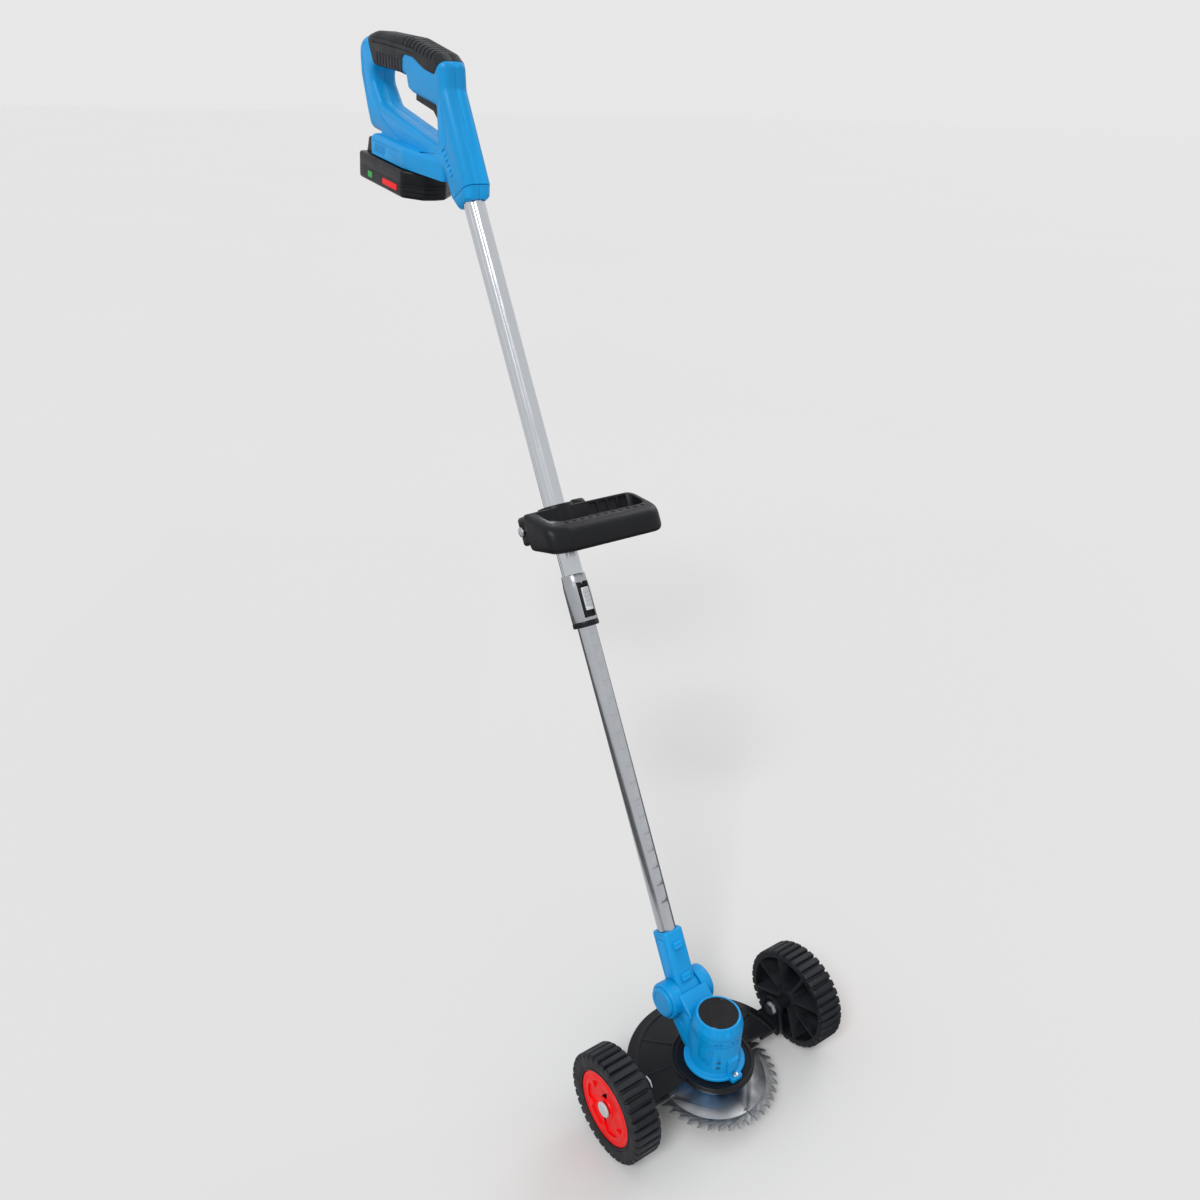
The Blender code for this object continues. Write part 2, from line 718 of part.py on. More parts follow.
def build_wheel(side, head, looks):
    """side is -1 on the left and 1 on the right. The wheel is built about its axle at its own frame."""
    name = "left" if side < 0 else "right"
    axis = frame(f"{name}_wheel_axis", (0, WHEEL_Y, WHEEL_RADIUS), parent=head)

    def span(a, b):
        return min(side * a, side * b), max(side * a, side * b)

    low, high = span(WHEEL_INNER, WHEEL_OUTER)
    rim = prism("rim", tread_outline(), low, high, "X")
    web = WHEEL_OUTER - 10.0
    low, high = span(WHEEL_INNER - 1, web)
    well = ring("well", 13.0, WHEEL_RADIUS - 8.5, low, high, ROUND, "X")
    for k in range(8):
        spoke = block("spoke", (low - 1, 0.0, -1.4), (high + 1, WHEEL_RADIUS, 1.4))
        cut(well, swung(spoke, math.tau * (k + 0.5) / 8, (0, 0, 0)))
    cut(rim, well)
    cover_depth = 6.0
    low, high = span(WHEEL_OUTER - cover_depth - GAP, WHEEL_OUTER + 1)
    cut(rim, rod("cover_room", HUB_COVER_RADIUS + GAP, low, high, LARGE_ROUND, "X"))
    low, high = span(WHEEL_INNER - 1, WHEEL_OUTER + 1)
    cut(rim, rod("bore", AXLE_RADIUS + GAP, low, high, SMALL_ROUND, "X"))
    place(rim, f"{name}_wheel", axis, looks["tyre_black"])

    face = WHEEL_OUTER - 1.2
    low, high = span(WHEEL_OUTER - cover_depth, face)
    cover = rod("cover", HUB_COVER_RADIUS, low, high, LARGE_ROUND, "X", chamfer=0.8)
    star = []
    for k in range(6):
        centre = math.degrees(math.tau * k / 6)
        star += arc((0, 0), 31.0, centre - 20, centre + 20, 3)
        star += arc((0, 0), 23.5, centre + 26, centre + 34, 1)
    low, high = span(face - 2.2, face + 2)
    cut(cover, prism("star", star, low, high, "X"))
    low, high = span(WHEEL_OUTER - 10, WHEEL_OUTER + 2)
    cut(cover, rod("bore", AXLE_RADIUS + GAP, low, high, SMALL_ROUND, "X"))
    place(cover, f"{name}_hub_cover", axis, looks["red_plastic"])

    centre = (WHEEL_Y, WHEEL_RADIUS)
    shank_end = face + 0.6
    low, high = span(LUG_INNER - GAP, shank_end)
    shank = rod("shank", AXLE_RADIUS, low, high, SMALL_ROUND, "X", centre)
    low, high = span(LUG_INNER - 4.6, LUG_INNER - GAP)
    hexagon = circle(7.5, 6, centre)
    low_f, high_f = span(LUG_INNER - 1.6, LUG_INNER - GAP)
    bolt = join(
        shank,
        prism("head", hexagon, low, high, "X"),
        rod("flange", 8.6, low_f, high_f, MEDIUM_ROUND, "X", centre),
    )
    place(bolt, f"{name}_axle_bolt", head, looks["steel"])
    low, high = span(LUG_INNER + LUG_THICKNESS + GAP, WHEEL_INNER - GAP)
    spacer = ring("spacer", AXLE_RADIUS + GAP, 8.0, low, high, MEDIUM_ROUND, "X", centre)
    place(spacer, f"{name}_axle_spacer", head, looks["black_plastic"])
    low, high = span(shank_end + GAP, shank_end + 2.8)
    cap = rod("cap", 8.6, low, high, MEDIUM_ROUND, "X", centre, 0.8)
    place(cap, f"{name}_axle_cap", head, looks["grey_plastic"])


# ---------------------------------------------------------------- pole


def build_lower_pole(pole, looks):
    side = SOCKET_SIDE / 2
    outline = rounded([(-side, -side), (side, -side), (side, side), (-side, side)], 5.0, 1)
    socket = loft(
        "socket",
        [
            (-PIVOT_ALONG_POLE + 4.0, outline),
            (-1.5, outline),
            (0.0, inset(outline, 1.5)),
        ],
    )
    eye = rod("eye", EYE_RADIUS, -EYE_HALF_WIDTH, EYE_HALF_WIDTH, ROUND, "X", (0, -PIVOT_ALONG_POLE), 1.0)
    for height in (-17.0, -55.0):
        clip = block("clip", (-6.5, -side - 3.0, height - 4.5), (6.5, -side + 1.0, height + 4.5), 0.8, 1)
        join(socket, clip)
    join(socket, eye)
    cut(
        socket,
        rod("tube_room", LOWER_TUBE_RADIUS + GAP, -SOCKET_DEPTH - GAP, 5.0, ROUND),
        rod("pin_room", PIVOT_PIN_RADIUS + GAP, -40, 40, SMALL_ROUND, "X", (0, -PIVOT_ALONG_POLE)),
    )
    place(socket, "head_socket", pole, looks["blue_plastic"])

    bore = LOWER_TUBE_RADIUS - LOWER_TUBE_WALL
    tube = ring("tube", bore, LOWER_TUBE_RADIUS, -SOCKET_DEPTH, LOWER_TUBE_TOP, ROUND)
    for k in range(NOTCH_COUNT):
        height = SLEEVE_FOOT - 7.0 - k * NOTCH_PITCH
        front = -LOWER_TUBE_RADIUS
        notch = block(
            "notch",
            (-9.0, front - 2.0, height - NOTCH_WIDTH / 2),
            (9.0, front + NOTCH_DEPTH, height + NOTCH_WIDTH / 2),
        )
        cut(tube, notch)
    place(tube, "lower_tube", pole, looks["aluminium"])


def build_upper_pole(pole, looks):
    foot = SLEEVE_FOOT + COLLAR_HEIGHT + 1.0
    top = HANDLE_ALONG_POLE + TUBE_IN_HANDLE
    tube = ring("tube", UPPER_TUBE_BORE, UPPER_TUBE_RADIUS, foot, top, ROUND)
    place(tube, "upper_tube", pole, looks["aluminium"])

    collar = ring(
        "collar", UPPER_TUBE_BORE, SLEEVE_RADIUS + 0.3, SLEEVE_FOOT, SLEEVE_FOOT + COLLAR_HEIGHT, ROUND
    )
    place(collar, "lock_collar", pole, looks["black_plastic"])

    bore = UPPER_TUBE_RADIUS + GAP
    low = SLEEVE_FOOT + COLLAR_HEIGHT + GAP
    profile = [
        (bore, low),
        (SLEEVE_RADIUS, low),
        (SLEEVE_RADIUS, SLEEVE_TOP - 16.0),
        (SLEEVE_RADIUS - 0.6, SLEEVE_TOP - 10.0),
        (bore + 0.9, SLEEVE_TOP),
        (bore, SLEEVE_TOP),
    ]
    sleeve = turned("sleeve", profile, ROUND, closed=True)
    half = 7.0
    insert_top = SLEEVE_TOP - 10.0
    window = block("window", (-half, -SLEEVE_RADIUS - 4, low + 4.0), (half, -8.0, insert_top))
    cut(sleeve, window)
    place(sleeve, "lock_sleeve", pole, looks["silver"])

    face = -SLEEVE_RADIUS - 1.6
    insert = prism(
        "insert",
        rounded(
            [
                (-half + GAP, -UPPER_TUBE_RADIUS),
                (-half + GAP, face),
                (half - GAP, face),
                (half - GAP, -UPPER_TUBE_RADIUS),
            ],
            1.0,
        ),
        low + 4.0 + GAP,
        insert_top - GAP,
    )
    cut(insert, rod("tube_room", bore, low, SLEEVE_TOP + 5, ROUND))
    button_half = 4.6
    button_low = low + 12.0
    button_top = SLEEVE_TOP - 17.0
    room_front = face + 1.6
    room = block(
        "room",
        (-button_half - GAP, face - 5, low + 4.0 - 2),
        (button_half + GAP, room_front, button_top + 2.0),
    )
    cut(insert, room)
    place(insert, "lock_insert", pole, looks["black_plastic"])

    axis = frame("pole_lock_axis", (0, face, (button_low + button_top) / 2), parent=pole)
    middle = (button_low + button_top) / 2
    outline = rounded(
        [
            (-button_half, room_front - GAP),
            (-button_half, face - 1.8),
            (button_half, face - 1.8),
            (button_half, room_front - GAP),
        ],
        0.6,
        2,
    )
    button = prism("button", outline, button_low, button_top)
    place(moved(button, (0, -face, -middle)), "pole_lock_button", axis, looks["grey_plastic"])


# ---------------------------------------------------------------- auxiliary handle


def build_auxiliary_handle(pole, looks):
    centre = LOOP_HEIGHT_ON_POLE
    axis = frame("auxiliary_handle_axis", (0, 0, centre), parent=pole)
    wall_rear = -UPPER_TUBE_RADIUS - 0.7
    wall_front = wall_rear - LOOP_WALL
    outer = rounded(
        [
            (LOOP_LEFT, wall_rear),
            (LOOP_LEFT, LOOP_FRONT + 8),
            (LOOP_LEFT + 24, LOOP_FRONT),
            (LOOP_RIGHT, LOOP_FRONT),
            (LOOP_RIGHT, wall_rear),
        ],
        [6.0, 14.0, 12.0, 20.0, 14.0],
        4,
    )
    inner = rounded(
        [
            (LOOP_LEFT + 15, wall_front),
            (LOOP_LEFT + 15, LOOP_FRONT + LOOP_BAR + 9),
            (LOOP_LEFT + 30, LOOP_FRONT + LOOP_BAR),
            (LOOP_RIGHT - 9, LOOP_FRONT + LOOP_BAR),
            (LOOP_RIGHT - 9, wall_front),
        ],
        [3.0, 4.0, 4.0, 12.0, 10.0],
        4,
    )

    def sheared(points, height_rear, height_front):
        """The outline's points with heights that fall from the rear wall to the front bar."""
        span = wall_rear - LOOP_FRONT
        return [
            (x, n, height_rear + (height_front - height_rear) * (wall_rear - n) / span) for x, n in points
        ]

    def band(name, points, layers):
        rows = [sheared(inset(points, shrink), rear, front) for shrink, rear, front in layers]
        count = len(points)
        vertices = [v for row in rows for v in row]
        faces = []
        for row in range(len(rows) - 1):
            for i in range(count):
                j = (i + 1) % count
                low = row * count
                faces.append((low + i, low + j, low + count + j, low + count + i))
        faces.append(tuple(reversed(range(count))))
        faces.append(tuple(range((len(rows) - 1) * count, len(rows) * count)))
        return solid(name, vertices, faces)

    loop = band(
        "loop",
        outer,
        [
            (5.0, -25.0, -39.5),
            (1.5, -24.0, -36.5),
            (0.0, -21.5, -31.0),
            (0.0, 13.0, -22.0),
            (1.5, 17.0, -15.5),
            (5.5, 18.8, -12.5),
        ],
    )
    hub = rod("hub", UPPER_TUBE_RADIUS + 8.3, -27.3, 19.6, ROUND)
    bolt_at = (UPPER_TUBE_RADIUS + CLAMP_BOLT_RADIUS + 2.6, 0.0)
    ear_rear = bolt_at[0] + 6.5
    left_ear = block("left_ear", (CLAMP_EAR_LEFT, wall_rear - 3.1, -17.3), (-8.0, ear_rear, 16.7), 4.0, 2)
    right_ear = block(
        "right_ear", (8.0, wall_rear - 2.6, -11.3), (CLAMP_EAR_RIGHT, ear_rear - 0.8, 12.2), 2.0, 1
    )
    cut(loop, band("hollow", inner, [(0.0, -40.0, -60.0), (0.0, 40.0, 20.0)]))
    join(loop, hub, left_ear, right_ear)
    cut(loop, rod("pole_room", UPPER_TUBE_RADIUS + GAP, -60, 60, ROUND))
    cut(loop, block("slit", (-2.5, 5.0, -60), (2.5, 40.0, 60)))
    head_seat = CLAMP_EAR_LEFT + 4.5
    cut(
        loop,
        rod("bolt_room", CLAMP_BOLT_RADIUS + GAP, CLAMP_EAR_LEFT - 5, 60, SMALL_ROUND, "X", bolt_at),
        rod("head_room", 7.4, CLAMP_EAR_LEFT - 20, head_seat, MEDIUM_ROUND, "X", bolt_at),
    )
    for row, height in enumerate((-17.0, 0.0)):
        for k in range(4):
            low_x = 33.0 + 14.0 * k
            pocket = block(
                "pocket", (low_x, wall_front - 3, height), (low_x + 11.0, wall_front + 2.0, height + 13.0)
            )
            cut(loop, pocket)
    place(loop, "auxiliary_handle", axis, looks["black_plastic"])

    knob_low = CLAMP_EAR_RIGHT + GAP
    knob_high = knob_low + KNOB_THICKNESS
    lobes = []
    steps = 30
    for i in range(steps):
        angle = math.tau * i / steps
        radius = KNOB_RADIUS - 2.2 + 2.2 * math.cos(6 * angle)
        lobes.append((bolt_at[0] + radius * math.cos(angle), bolt_at[1] + radius * math.sin(angle)))
    knob_axis = frame("clamp_knob_axis", (0, bolt_at[0], 0), parent=axis)
    knob = loft(
        "knob",
        [
            (knob_low, inset(lobes, 1.5)),
            (knob_low + 1.5, lobes),
            (knob_high - 2, lobes),
            (knob_high, inset(lobes, 2.0)),
        ],
        "X",
    )
    bolt_end = knob_low + 11.0
    cut(
        knob,
        rod("bolt_room", CLAMP_BOLT_RADIUS + GAP, knob_low - 2, bolt_end + GAP, SMALL_ROUND, "X", bolt_at),
    )
    place(moved(knob, (0, -bolt_at[0], 0)), "clamp_knob", knob_axis, looks["black_plastic"])

    head = prism("head", circle(6.2, 6, bolt_at), head_seat - 7.0, head_seat - GAP, "X")
    shank = rod("shank", CLAMP_BOLT_RADIUS, head_seat - 2, bolt_end, SMALL_ROUND, "X", bolt_at)
    place(join(head, shank), "clamp_bolt", axis, looks["steel"])


# ---------------------------------------------------------------- handle housing


def handle_outline():
    """The housing's side view from the pole's foot: up the column, along the grip, down the rear leg."""
    corners = [
        (-12.3, 6.7, 0),
        (12.3, -6.7, 0),
        (27.6, 3.1, 0),
        (43.3, 31.5, 10),
        (127.3, 33.5, 20),
        (211.0, 45.0, 0),
        (208.5, 67.0, 0),
        (236.0, 72.0, 14),
        (244.0, 92.0, 30),
        (256.5, 134.0, 30),
        (256.0, 172.0, 26),
        (206.0, 180.0, 60),
        (118.0, 170.5, 60),
        (52.0, 153.5, 12),
        (36.5, 143.0, 12),
        (35.0, 118.0, 14),
        (-13.6, 23.0, 0),
    ]
    return rounded([(u, v) for u, v, r in corners], [r for u, v, r in corners], 3)


def handle_hole():
    corners = [
        (54.5, 59.0, 6),
        (54.5, 100.0, 3),
        (114.0, 113.0, 0),
        (124.0, 117.5, 0),
        (127.5, 131.0, 3),
        (147.0, 135.0, 8),
        (216.0, 143.0, 14),
        (223.0, 128.0, 20),
        (201.3, 99.5, 16),
    ]
    return rounded([(u, v) for u, v, r in corners], [r for u, v, r in corners], 2)


def build_handle(handle, dock, looks):
    outline = handle_outline()
    hole = handle_hole()
    half = HANDLE_HALF_WIDTH
    shell = pillow("shell", outline, half, HANDLE_EDGE, steps=2)
    cut(shell, pillow("hole", hole, half, 6.0, steps=2, flare=True))

    plan = [
        (-DOCK_HALF_WIDTH, DOCK_LENGTH),
        (-DOCK_HALF_WIDTH, -6.0),
        (-half + 1, -84.0),
        (half - 1, -84.0),
        (DOCK_HALF_WIDTH, -6.0),
        (DOCK_HALF_WIDTH, DOCK_LENGTH),
    ]
    plan = rounded(plan, [8, 16, 8, 8, 16, 8], 3)
    to_dock = Matrix.Translation(dock.location) @ Matrix.Rotation(DOCK_SLOPE, 4, "X")
    base = loft(
        "base",
        [
            (0.0, plan),
            (DOCK_HEIGHT - 6.0, plan),
            (DOCK_HEIGHT - 1.5, inset(plan, 2.5)),
            (DOCK_HEIGHT, inset(plan, 6.0)),
        ],
    )
    transform(base, to_dock)
    join(shell, base)

    room = pillow("room", inset(outline, SHELL_WALL), half - SHELL_WALL, HANDLE_EDGE - SHELL_WALL, steps=1)
    cut(room, prism("around_hole", inset(hole, -SHELL_WALL), -half, half, "X"))
    neck_solid = block("neck_solid", (-30, -40, -20), (30, 40, 34))
    cut(room, swung(neck_solid, -HANDLE_RAKE, (0, 0, 0)))
    dock_roof = block("dock_roof", (-40, -90, -30), (40, 100, RAIL_HEIGHT + 3.4))
    cut(room, transform(dock_roof, to_dock))
    bosses = [(228.0, 158.0), (222.0, 86.0), (104.0, 60.5), (46.0, 122.0)]
    for boss in bosses:
        cut(room, rod("boss", 4.6, -half, half, SMALL_ROUND, "X", boss))
    cut(shell, room)

    bore = rod("tube_room", UPPER_TUBE_RADIUS + GAP, -10.0, TUBE_IN_HANDLE + GAP, ROUND)
    cut(shell, swung(bore, -HANDLE_RAKE, (0, 0, 0)))

    neck = block(
        "neck", (-RAIL_NECK_HALF - GAP, -33.0, -5.0), (RAIL_NECK_HALF + GAP, 120, RAIL_NECK_HEIGHT + 1)
    )
    head = block(
        "head",
        (-RAIL_HEAD_HALF - GAP, -33.0, RAIL_NECK_HEIGHT),
        (RAIL_HEAD_HALF + GAP, 120, RAIL_HEIGHT + GAP),
    )
    cut(shell, transform(neck, to_dock), transform(head, to_dock))

    slot = TRIGGER_HALF_WIDTH + 0.5
    trigger_slot = prism(
        "trigger_slot",
        [(55.6, 84.0), (129.0, 104.0), (129.0, 121.0), (113.0, 127.0), (55.6, 112.0)],
        -slot,
        slot,
        "X",
    )
    cut(shell, trigger_slot)

    button_at = (74.0, 146.0)
    cut(shell, rod("lock_room", 5.0 + GAP, half - 6, half + 4, MEDIUM_ROUND, "X", button_at))

    for boss in bosses:
        cut(shell, rod("screw_room", 1.7, -half + 5.0, half + 1, TINY_ROUND, "X", boss))
        cut(shell, rod("screw_seat", 3.7, half - 3.6, half + 1, SMALL_ROUND, "X", boss))

    grip_region = rounded(
        [
            (40.0, 146.0),
            (54.0, 132.0),
            (78.0, 137.5),
            (106.0, 150.0),
            (126.0, 153.0),
            (132.0, 149.0),
            (136.0, 120.0),
            (190.0, 120.0),
            (213.0, 146.0),
            (222.0, 164.0),
            (232.0, 195.0),
            (40.0, 195.0),
        ],
        [3, 4, 3, 3, 3, 3, 0, 0, 10, 10, 0, 0],
        3,
    )
    depth = GRIP_COVER_THICKNESS
    seat = prism("seat", grip_region, -half - 5, half + 5, "X")
    cut_core = pillow("core", inset(outline, depth), half - depth, HANDLE_EDGE - depth)
    cut(cut_core, pillow("core_hole", inset(hole, -depth), half - depth + 0.2, 6.0, flare=True))
    cut(seat, cut_core)
    cut(shell, seat)
    cover = prism("cover", inset(grip_region, GAP), -half - 5, half + 5, "X")
    outer_skin = pillow("outer_skin", inset(outline, -0.4), half + 0.4, HANDLE_EDGE)
    cut(outer_skin, pillow("skin_hole", inset(hole, 0.4), half + 0.6, 6.0, flare=True))
    common(cover, outer_skin)
    under = depth - GAP
    inner_skin = pillow("inner_skin", inset(outline, under), half - under, HANDLE_EDGE - under)
    cut(inner_skin, pillow("inner_hole", inset(hole, -under), half - under + 0.2, 6.0, flare=True))
    cut(cover, inner_skin)
    cut(cover, rod("lock_clearance", 5.8, half - 6, half + 4, MEDIUM_ROUND, "X", button_at))

    far = 400.0
    for side, name in ((-1, "left"), (1, "right")):
        gap = GAP / 2
        low, high = min(side * gap, side * 60.0), max(side * gap, side * 60.0)
        keep = block("keep", (low, -far, -far), (high, far, far))
        place(
            common(copy(shell, "half"), copy(keep, "k")),
            f"handle_shell_{name}",
            handle,
            looks["blue_plastic"],
        )
        place(common(copy(cover, "half"), keep), f"grip_cover_{name}", handle, looks["rubber"])
    bpy.data.objects.remove(shell, do_unlink=True)
    bpy.data.objects.remove(cover, do_unlink=True)

    for number, boss in enumerate(bosses, 1):
        seat_x = half - 3.6
        screw = rod("screw", 1.4, -half + 7.0, seat_x + 1.0, TINY_ROUND, "X", boss)
        screw_head = rod("screw_head", 3.2, seat_x + GAP, seat_x + 2.4, SMALL_ROUND, "X", boss)
        place(join(screw_head, screw), f"shell_screw_{number}", handle, looks["steel"])

    switch = block("switch", (-8.0, -21.0, 0.0), (8.0, 21.0, 15.0), 0.8, 1)
    swung(switch, math.radians(14.5), (0, 0, 0))
    place(moved(switch, (0, 88.0, 127.5)), "trigger_switch", handle, looks["black_plastic"])


def build_trigger(handle, looks):
    axis = frame("trigger_axis", (0, 84.0, 105.0), math.radians(16.0), parent=handle)
    outline = rounded(
        [
            (57.6, 82.5),
            (67.0, 84.0),
            (79.0, 94.5),
            (122.0, 105.5),
            (120.5, 114.0),
            (108.0, 117.5),
            (57.6, 104.5),
        ],
        [2, 5, 8, 2, 1, 1, 1],
        3,
    )
    trigger = pillow("trigger", outline, TRIGGER_HALF_WIDTH, 1.5, steps=2)
    transform(
        trigger,
        Matrix.Rotation(-math.radians(16.0), 4, "X") @ Matrix.Translation(Vector((0, -84.0, -105.0)) * MM),
    )
    place(trigger, "trigger", axis, looks["black_plastic"])


def build_lock_off(handle, looks):
    axis = frame("lock_off_axis", (HANDLE_HALF_WIDTH, 74.0, 146.0), parent=handle)
    button = rod("button", 5.0, -4.6, 2.4, MEDIUM_ROUND, "X", (0, 0), 0.8)
    place(button, "lock_off_button", axis, looks["black_plastic"])


def build_terminals(dock, looks):
    high = RAIL_HEIGHT - 0.6
    rear = -26.0
    body = block("terminals", (-17.0, -32.6, 0.8), (17.0, rear, high), 0.6, 1)
    place(body, "battery_terminal_block", dock, looks["black_plastic"])
    for side, name in ((-1, "left"), (1, "right")):
        blade = block("blade", (side * 10.0 - 0.4, rear + GAP, 3.0), (side * 10.0 + 0.4, rear + 11.0, 8.5))
        place(blade, f"terminal_contact_{name}", dock, looks["brass"])


# ---------------------------------------------------------------- battery


def build_battery(dock, looks):
    axis = frame("battery_axis", (0, 0, 0), parent=dock)
    half = BATTERY_HALF_WIDTH
    top = -1.5
    floor = top - BATTERY_HEIGHT
    front = BATTERY_FRONT
    rear = BATTERY_REAR
    plan = rounded(
        [
            (-half, rear),
            (-half, front + 22.0),
            (-half + 20.0, front + 2.0),
            (0.0, front),
            (half - 20.0, front + 2.0),
            (half, front + 22.0),
            (half, rear),
        ],
        [7, 10, 8, 0, 8, 10, 7],
        3,
    )
    split = floor + 16.5

    def shaped(name, low, high, low_edge, high_edge):
        layers = []
        if low_edge:
            layers += [
                (low, inset(plan, low_edge)),
                (low + low_edge * 0.4, inset(plan, low_edge * 0.3)),
                (low + low_edge, plan),
            ]
        else:
            layers.append((low, plan))
        if high_edge:
            layers += [
                (high - high_edge, plan),
                (high - high_edge * 0.4, inset(plan, high_edge * 0.3)),
                (high, inset(plan, high_edge)),
            ]
        else:
            layers.append((high, plan))
        return loft(name, layers)

    def cavity():
        room = inset(plan, BATTERY_WALL)
        return prism("cavity", room, floor + BATTERY_WALL, top - BATTERY_WALL)

    lower = shaped("lower", floor, split - GAP, 4.0, 0.0)
    cut(lower, cavity())
    place(lower, "battery_lower_case", axis, looks["black_plastic"])

    upper = shaped("upper", split, top, 0.0, 3.0)
    hump_front = DOCK_LENGTH + 0.6
    neck = block(
        "neck", (-RAIL_NECK_HALF, -20.0, top - 1), (RAIL_NECK_HALF, DOCK_LENGTH + 5, RAIL_NECK_HEIGHT + 2)
    )
    head = block(
        "head",
        (-RAIL_HEAD_HALF, -20.0, RAIL_NECK_HEIGHT + GAP),
        (RAIL_HEAD_HALF, DOCK_LENGTH + 5, RAIL_HEIGHT),
    )
    hump_side = [
        (hump_front, top - 2), (rear - 2, top - 2), (rear - 6, 6.0), (rear - 9.0, 17.0), (hump_front, 17.0)
    ]
    hump = pillow("hump", rounded(hump_side, [0, 0, 4, 4, 1]), 25.0, 3.0, steps=2)
    join(upper, neck, head, hump)
    cut(upper, cavity())
    for side in (-1, 1):
        cut(upper, block("contact_room", (side * 10.0 - 1.0, -21.0, 2.0), (side * 10.0 + 1.0, -8.0, 9.5)))
    button_half = 11.0
    button_room = block(
        "button_room",
        (-button_half - GAP, hump_front + 3.0, 10.0),
        (button_half + GAP, hump_front + 12.0, 20.0),
    )
    cut(upper, button_room)
    place(upper, "battery_upper_case", axis, looks["black_plastic"])

    latch_axis = frame("battery_latch_axis", (0, hump_front + 7.5, 17.0), parent=axis)
    button = block("latch", (-button_half, -4.2, -3.2), (button_half, 4.2, 2.0), 0.8, 2)
    place(button, "battery_release_button", latch_axis, looks["grey_plastic"])

    middle = (floor + top) / 2 - 0.2
    first = (front + rear) / 2 + 4.0 - CELL_PITCH * (CELL_COUNT - 1) / 2
    for k in range(CELL_COUNT):
        centre = (first + k * CELL_PITCH, middle)
        reach = half - BATTERY_WALL - 1.0
        cell = rod("cell", CELL_RADIUS, -reach, reach, SMALL_ROUND, "X", centre)
        place(cell, f"battery_cell_{k + 1}", axis, looks["cell"])


# ---------------------------------------------------------------- assembly


def main():
    clear_scene()
    blue = (0.0, 0.28, 0.62)
    looks = {
        "blue_plastic": finish("blue_plastic", blue, 0.42),
        "black_plastic": finish("black_plastic", (0.014, 0.016, 0.02), 0.5),
        "black_gloss": finish("black_gloss", (0.01, 0.012, 0.015), 0.25),
        "grey_plastic": finish("grey_plastic", (0.35, 0.35, 0.36), 0.5),
        "red_plastic": finish("red_plastic", (0.75, 0.01, 0.01), 0.45),
        "tyre_black": finish("tyre_black", (0.012, 0.013, 0.016), 0.6),
        "rubber": finish("rubber", (0.012, 0.014, 0.02), 0.75),
        "aluminium": finish("aluminium", (0.85, 0.85, 0.86), 0.25, 1.0),
        "silver": finish("silver", (0.8, 0.8, 0.8), 0.3, 0.8),
        "steel": finish("steel", (0.7, 0.7, 0.7), 0.3, 1.0),
        "steel_dark": finish("steel_dark", (0.3, 0.3, 0.32), 0.45, 1.0),
        "disc_steel": finish("disc_steel", (0.55, 0.54, 0.52), 0.35, 1.0),
        "brass": finish("brass", (0.8, 0.6, 0.25), 0.35, 1.0),
        "cell": finish("cell", (0.1, 0.35, 0.2), 0.5),
    }
    origin = frame("trimmer", (0, 0, 0))
    head = frame("head", (0, DISC_AXIS_Y, 0), parent=origin)
    disc_axis = frame("disc_axis", (0, 0, 0), parent=head)
    build_disc(disc_axis, looks)
    build_guard(head, looks)
    build_motor_housing(head, looks)
    build_pivot_button(head, looks)
    build_wheel(-1, head, looks)
    build_wheel(1, head, looks)

    pole = frame("pole", (0, POLE_FOOT_Y, POLE_FOOT_Z), -POLE_TILT, head)
    build_lower_pole(pole, looks)
    build_upper_pole(pole, looks)
    build_auxiliary_handle(pole, looks)

    handle = frame("handle", on_pole(HANDLE_ALONG_POLE), HANDLE_RAKE - POLE_TILT, head)
    dock = frame("dock", (0, 127.3, 32.5), DOCK_SLOPE, handle)
    build_handle(handle, dock, looks)
    build_trigger(handle, looks)
    build_lock_off(handle, looks)
    build_terminals(dock, looks)
    build_battery(dock, looks)


main()
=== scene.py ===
"""Looks of the cordless grass trimmer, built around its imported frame.

Shapes are modelled in millimetres in four local frames (head, pole, handle and dock), whose
places come from the record's joints, and are scaled to metres once. Each piece keeps its local
frame as its object matrix, so procedural textures follow the piece.
"""

import contextlib
import json
import math

import bmesh
import bpy
from mathutils import Matrix, Vector


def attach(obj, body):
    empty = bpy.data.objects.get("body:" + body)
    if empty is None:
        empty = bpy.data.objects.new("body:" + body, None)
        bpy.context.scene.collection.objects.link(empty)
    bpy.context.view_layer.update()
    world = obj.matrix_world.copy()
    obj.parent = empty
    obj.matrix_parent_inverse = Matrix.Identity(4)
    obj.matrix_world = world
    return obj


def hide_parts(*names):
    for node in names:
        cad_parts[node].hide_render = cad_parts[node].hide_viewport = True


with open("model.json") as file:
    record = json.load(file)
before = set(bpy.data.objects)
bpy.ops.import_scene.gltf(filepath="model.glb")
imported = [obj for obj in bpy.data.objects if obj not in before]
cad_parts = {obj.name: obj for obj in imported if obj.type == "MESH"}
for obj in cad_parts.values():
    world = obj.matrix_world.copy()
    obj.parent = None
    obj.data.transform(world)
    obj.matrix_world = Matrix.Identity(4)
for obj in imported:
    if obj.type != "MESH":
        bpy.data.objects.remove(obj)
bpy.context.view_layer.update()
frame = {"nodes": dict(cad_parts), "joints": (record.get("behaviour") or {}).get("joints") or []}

MM = 0.001
GAP = 0.3
WELD = 0.004

# Sides of round shapes
LARGE_ROUND = 144
ROUND = 96
MEDIUM_ROUND = 64
SMALL_ROUND = 32

